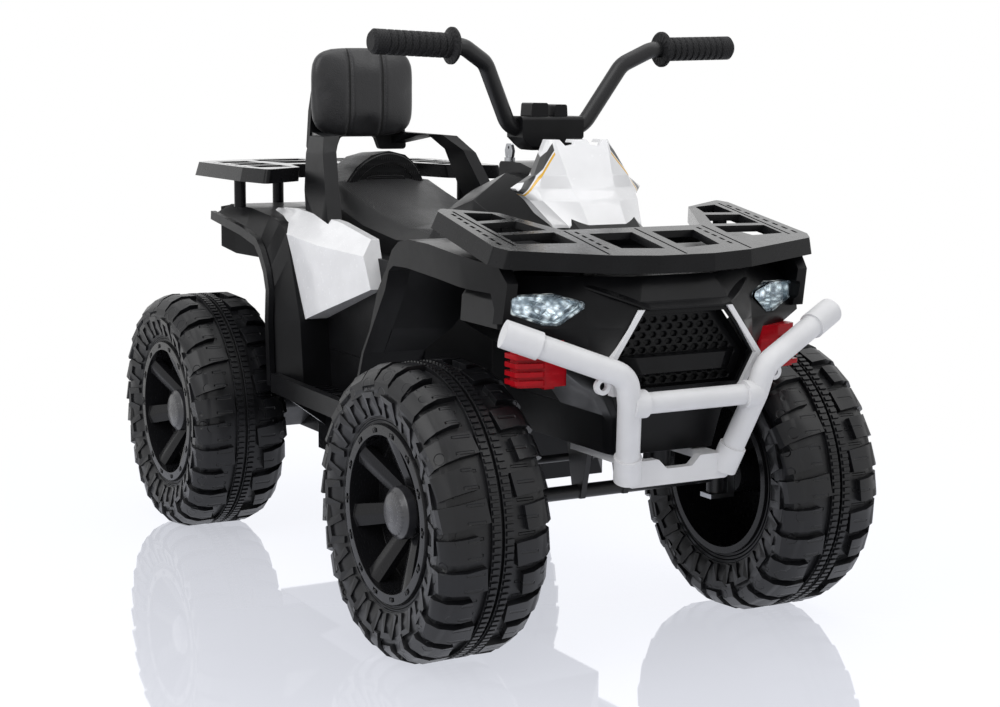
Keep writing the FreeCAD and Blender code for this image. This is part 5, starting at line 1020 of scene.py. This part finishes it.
class QUAD_OT_stage(bpy.types.Operator):
    """Make the pale floor, the soft lamps and the camera"""

    bl_idname = "quad.stage"
    bl_label = "Stage"

    def execute(self, context):
        stage = context.scene.quad_stage
        self.floor(stage)
        self.sky(context, stage)
        self.lamp("key_lamp", (0.9, -2.7, 2.4), 2.6, stage.key)
        self.lamp("top_lamp", (0.2, 0.3, 2.7), 2.2, stage.top)
        self.lamp("side_lamp", (2.0, 1.7, 2.7), 1.4, stage.side)
        self.camera(context, stage)
        view = context.scene.view_settings
        view.view_transform = "Standard"
        return {"FINISHED"}

    def seen(self, tree):
        """Two values: 1 for camera rays, and 1 for rays from the camera, a glossy surface or glass."""
        path = tree.nodes.new("ShaderNodeLightPath").outputs
        camera = Shade(tree, path["Is Camera Ray"])
        either = camera.math("MAXIMUM", camera, Shade(tree, path["Is Glossy Ray"]))
        return camera, either.math("MAXIMUM", either, Shade(tree, path["Is Transmission Ray"]))

    def floor(self, stage):
        """Flat square under the wheels; away from the bike it goes over to plain white."""
        half = 6.0
        mirror_blur = 0.03
        mirror_index = 1.85
        mirror_share = 1.25
        cool_white = {"Color": (0.90, 0.92, 1.0, 1.0), "Strength": 1.17}
        corners = np.array([[-1.0, -1.0, 0.0], [1.0, -1.0, 0.0], [1.0, 1.0, 0.0], [-1.0, 1.0, 0.0]]) * half
        mesh = bpy.data.meshes.new("studio_floor")
        mesh.from_pydata(corners.tolist(), [], [[0, 1, 2, 3]])
        material = bpy.data.materials.new("studio_floor_finish")
        material.use_nodes = True
        tree = material.node_tree
        tree.nodes.remove(tree.nodes["Principled BSDF"])
        place = Shade(tree, tree.nodes.new("ShaderNodeTexCoord").outputs["Object"])
        x, y, _ = place.split()
        away = (x * x + y * y).root().band(0.8, 1.4)
        camera, seen = self.seen(tree)
        white = place.node("ShaderNodeEmission", None, {"Color": WHITE, "Strength": 1.0})
        soft = place.node("ShaderNodeBsdfDiffuse", None, {"Color": tuple(stage.floor)})
        mirror = place.node("ShaderNodeBsdfGlossy", None, {"Color": WHITE, "Roughness": mirror_blur})
        gloss = place.node("ShaderNodeFresnel", None, {"IOR": mirror_index})
        cool = place.node("ShaderNodeEmission", None, cool_white)
        under = place.node("ShaderNodeMixShader", None, {0: seen * stage.floor_white, 1: soft, 2: cool})
        shine = gloss * camera * mirror_share
        near = place.node("ShaderNodeMixShader", None, {0: shine, 1: under, 2: mirror})
        mixed = place.node("ShaderNodeMixShader", None, {0: away * seen, 1: near, 2: white})
        tree.links.new(mixed.socket, tree.nodes["Material Output"].inputs["Surface"])
        mesh.materials.append(material)
        floor = bpy.data.objects.new("studio_floor", mesh)
        bpy.context.scene.collection.objects.link(floor)

    def sky(self, context, stage):
        """White where the camera, glossy surfaces or glass look at it, softer as a light."""
        world = bpy.data.worlds.new("studio_sky")
        context.scene.world = world
        world.use_nodes = True
        tree = world.node_tree
        soft = tree.nodes["Background"]
        soft.inputs["Color"].default_value = (0.97, 0.98, 1.0, 1.0)
        soft.inputs["Strength"].default_value = stage.sky
        start = Shade(tree, soft.outputs[0])
        _, seen = self.seen(tree)
        white = start.node("ShaderNodeBackground", None, {"Color": WHITE, "Strength": 1.0})
        mixed = start.node("ShaderNodeMixShader", None, {0: seen, 1: start, 2: white})
        tree.links.new(mixed.socket, tree.nodes["World Output"].inputs["Surface"])

    def lamp(self, name, place, size, power):
        """Square lamp aimed at the middle of the bike."""
        light = bpy.data.lights.new(name, "AREA")
        light.energy = power
        light.size = size
        lamp = bpy.data.objects.new(name, light)
        bpy.context.scene.collection.objects.link(lamp)
        lamp.location = place
        aim = Vector(LAMP_TARGET) - Vector(place)
        lamp.rotation_euler = aim.to_track_quat("-Z", "Y").to_euler()

    def camera(self, context, stage):
        """Camera from its angles: right, up and back are worked out from azimuth, elevation and roll."""
        turn = stage.azimuth
        rise = stage.elevation
        roll = stage.roll
        right = Vector((math.cos(turn), math.sin(turn), 0.0))
        level_back = Vector((math.sin(turn), -math.cos(turn), 0.0))
        back = level_back * math.cos(rise) + Vector((0.0, 0.0, math.sin(rise)))
        up = back.cross(right)
        place = Vector(VIEW_TARGET) + back * stage.distance
        tilted_right = right * math.cos(roll) + up * math.sin(roll)
        tilted_up = up * math.cos(roll) - right * math.sin(roll)
        lens = bpy.data.cameras.new("photo_camera")
        lens.sensor_width = SENSOR_WIDTH
        lens.lens = stage.focal
        camera = bpy.data.objects.new("photo_camera", lens)
        context.scene.collection.objects.link(camera)
        columns = Matrix((tilted_right, tilted_up, back)).transposed().to_4x4()
        camera.matrix_world = Matrix.Translation(place) @ columns
        context.scene.camera = camera


class QUAD_PT_sidebar(bpy.types.Panel):
    """Buttons for each group of pieces"""

    bl_idname = "QUAD_PT_sidebar"
    bl_label = "Quad bike"
    bl_space_type = "VIEW_3D"
    bl_region_type = "UI"
    bl_category = "Quad bike"

    def draw(self, context):
        for operator in OPERATORS:
            self.layout.operator(operator.bl_idname)


GROUPS = (QuadFinishes, QuadPad, QuadStage)
OPERATORS = (
    QUAD_OT_wheels, QUAD_OT_bodywork, QUAD_OT_steering, QUAD_OT_drive, QUAD_OT_lamps, QUAD_OT_back_pad,
    QUAD_OT_stage,
)
CLASSES = GROUPS + OPERATORS + (QUAD_PT_sidebar,)


def register():
    """Add the settings, the operators and the panel."""
    for entry in CLASSES:
        bpy.utils.register_class(entry)
    bpy.types.Scene.quad_finishes = bpy.props.PointerProperty(type=QuadFinishes)
    bpy.types.Scene.quad_pad = bpy.props.PointerProperty(type=QuadPad)
    bpy.types.Scene.quad_stage = bpy.props.PointerProperty(type=QuadStage)


def unregister():
    """Take the settings, the operators and the panel away again."""
    del bpy.types.Scene.quad_stage
    del bpy.types.Scene.quad_pad
    del bpy.types.Scene.quad_finishes
    for entry in reversed(CLASSES):
        bpy.utils.unregister_class(entry)


def main():
    """Make every piece and the stage."""
    register()
    bpy.ops.quad.wheels()
    bpy.ops.quad.bodywork()
    bpy.ops.quad.steering()
    bpy.ops.quad.drive()
    bpy.ops.quad.lamps()
    bpy.ops.quad.back_pad()
    bpy.ops.quad.stage()


if __name__ == "__main__":
    main()
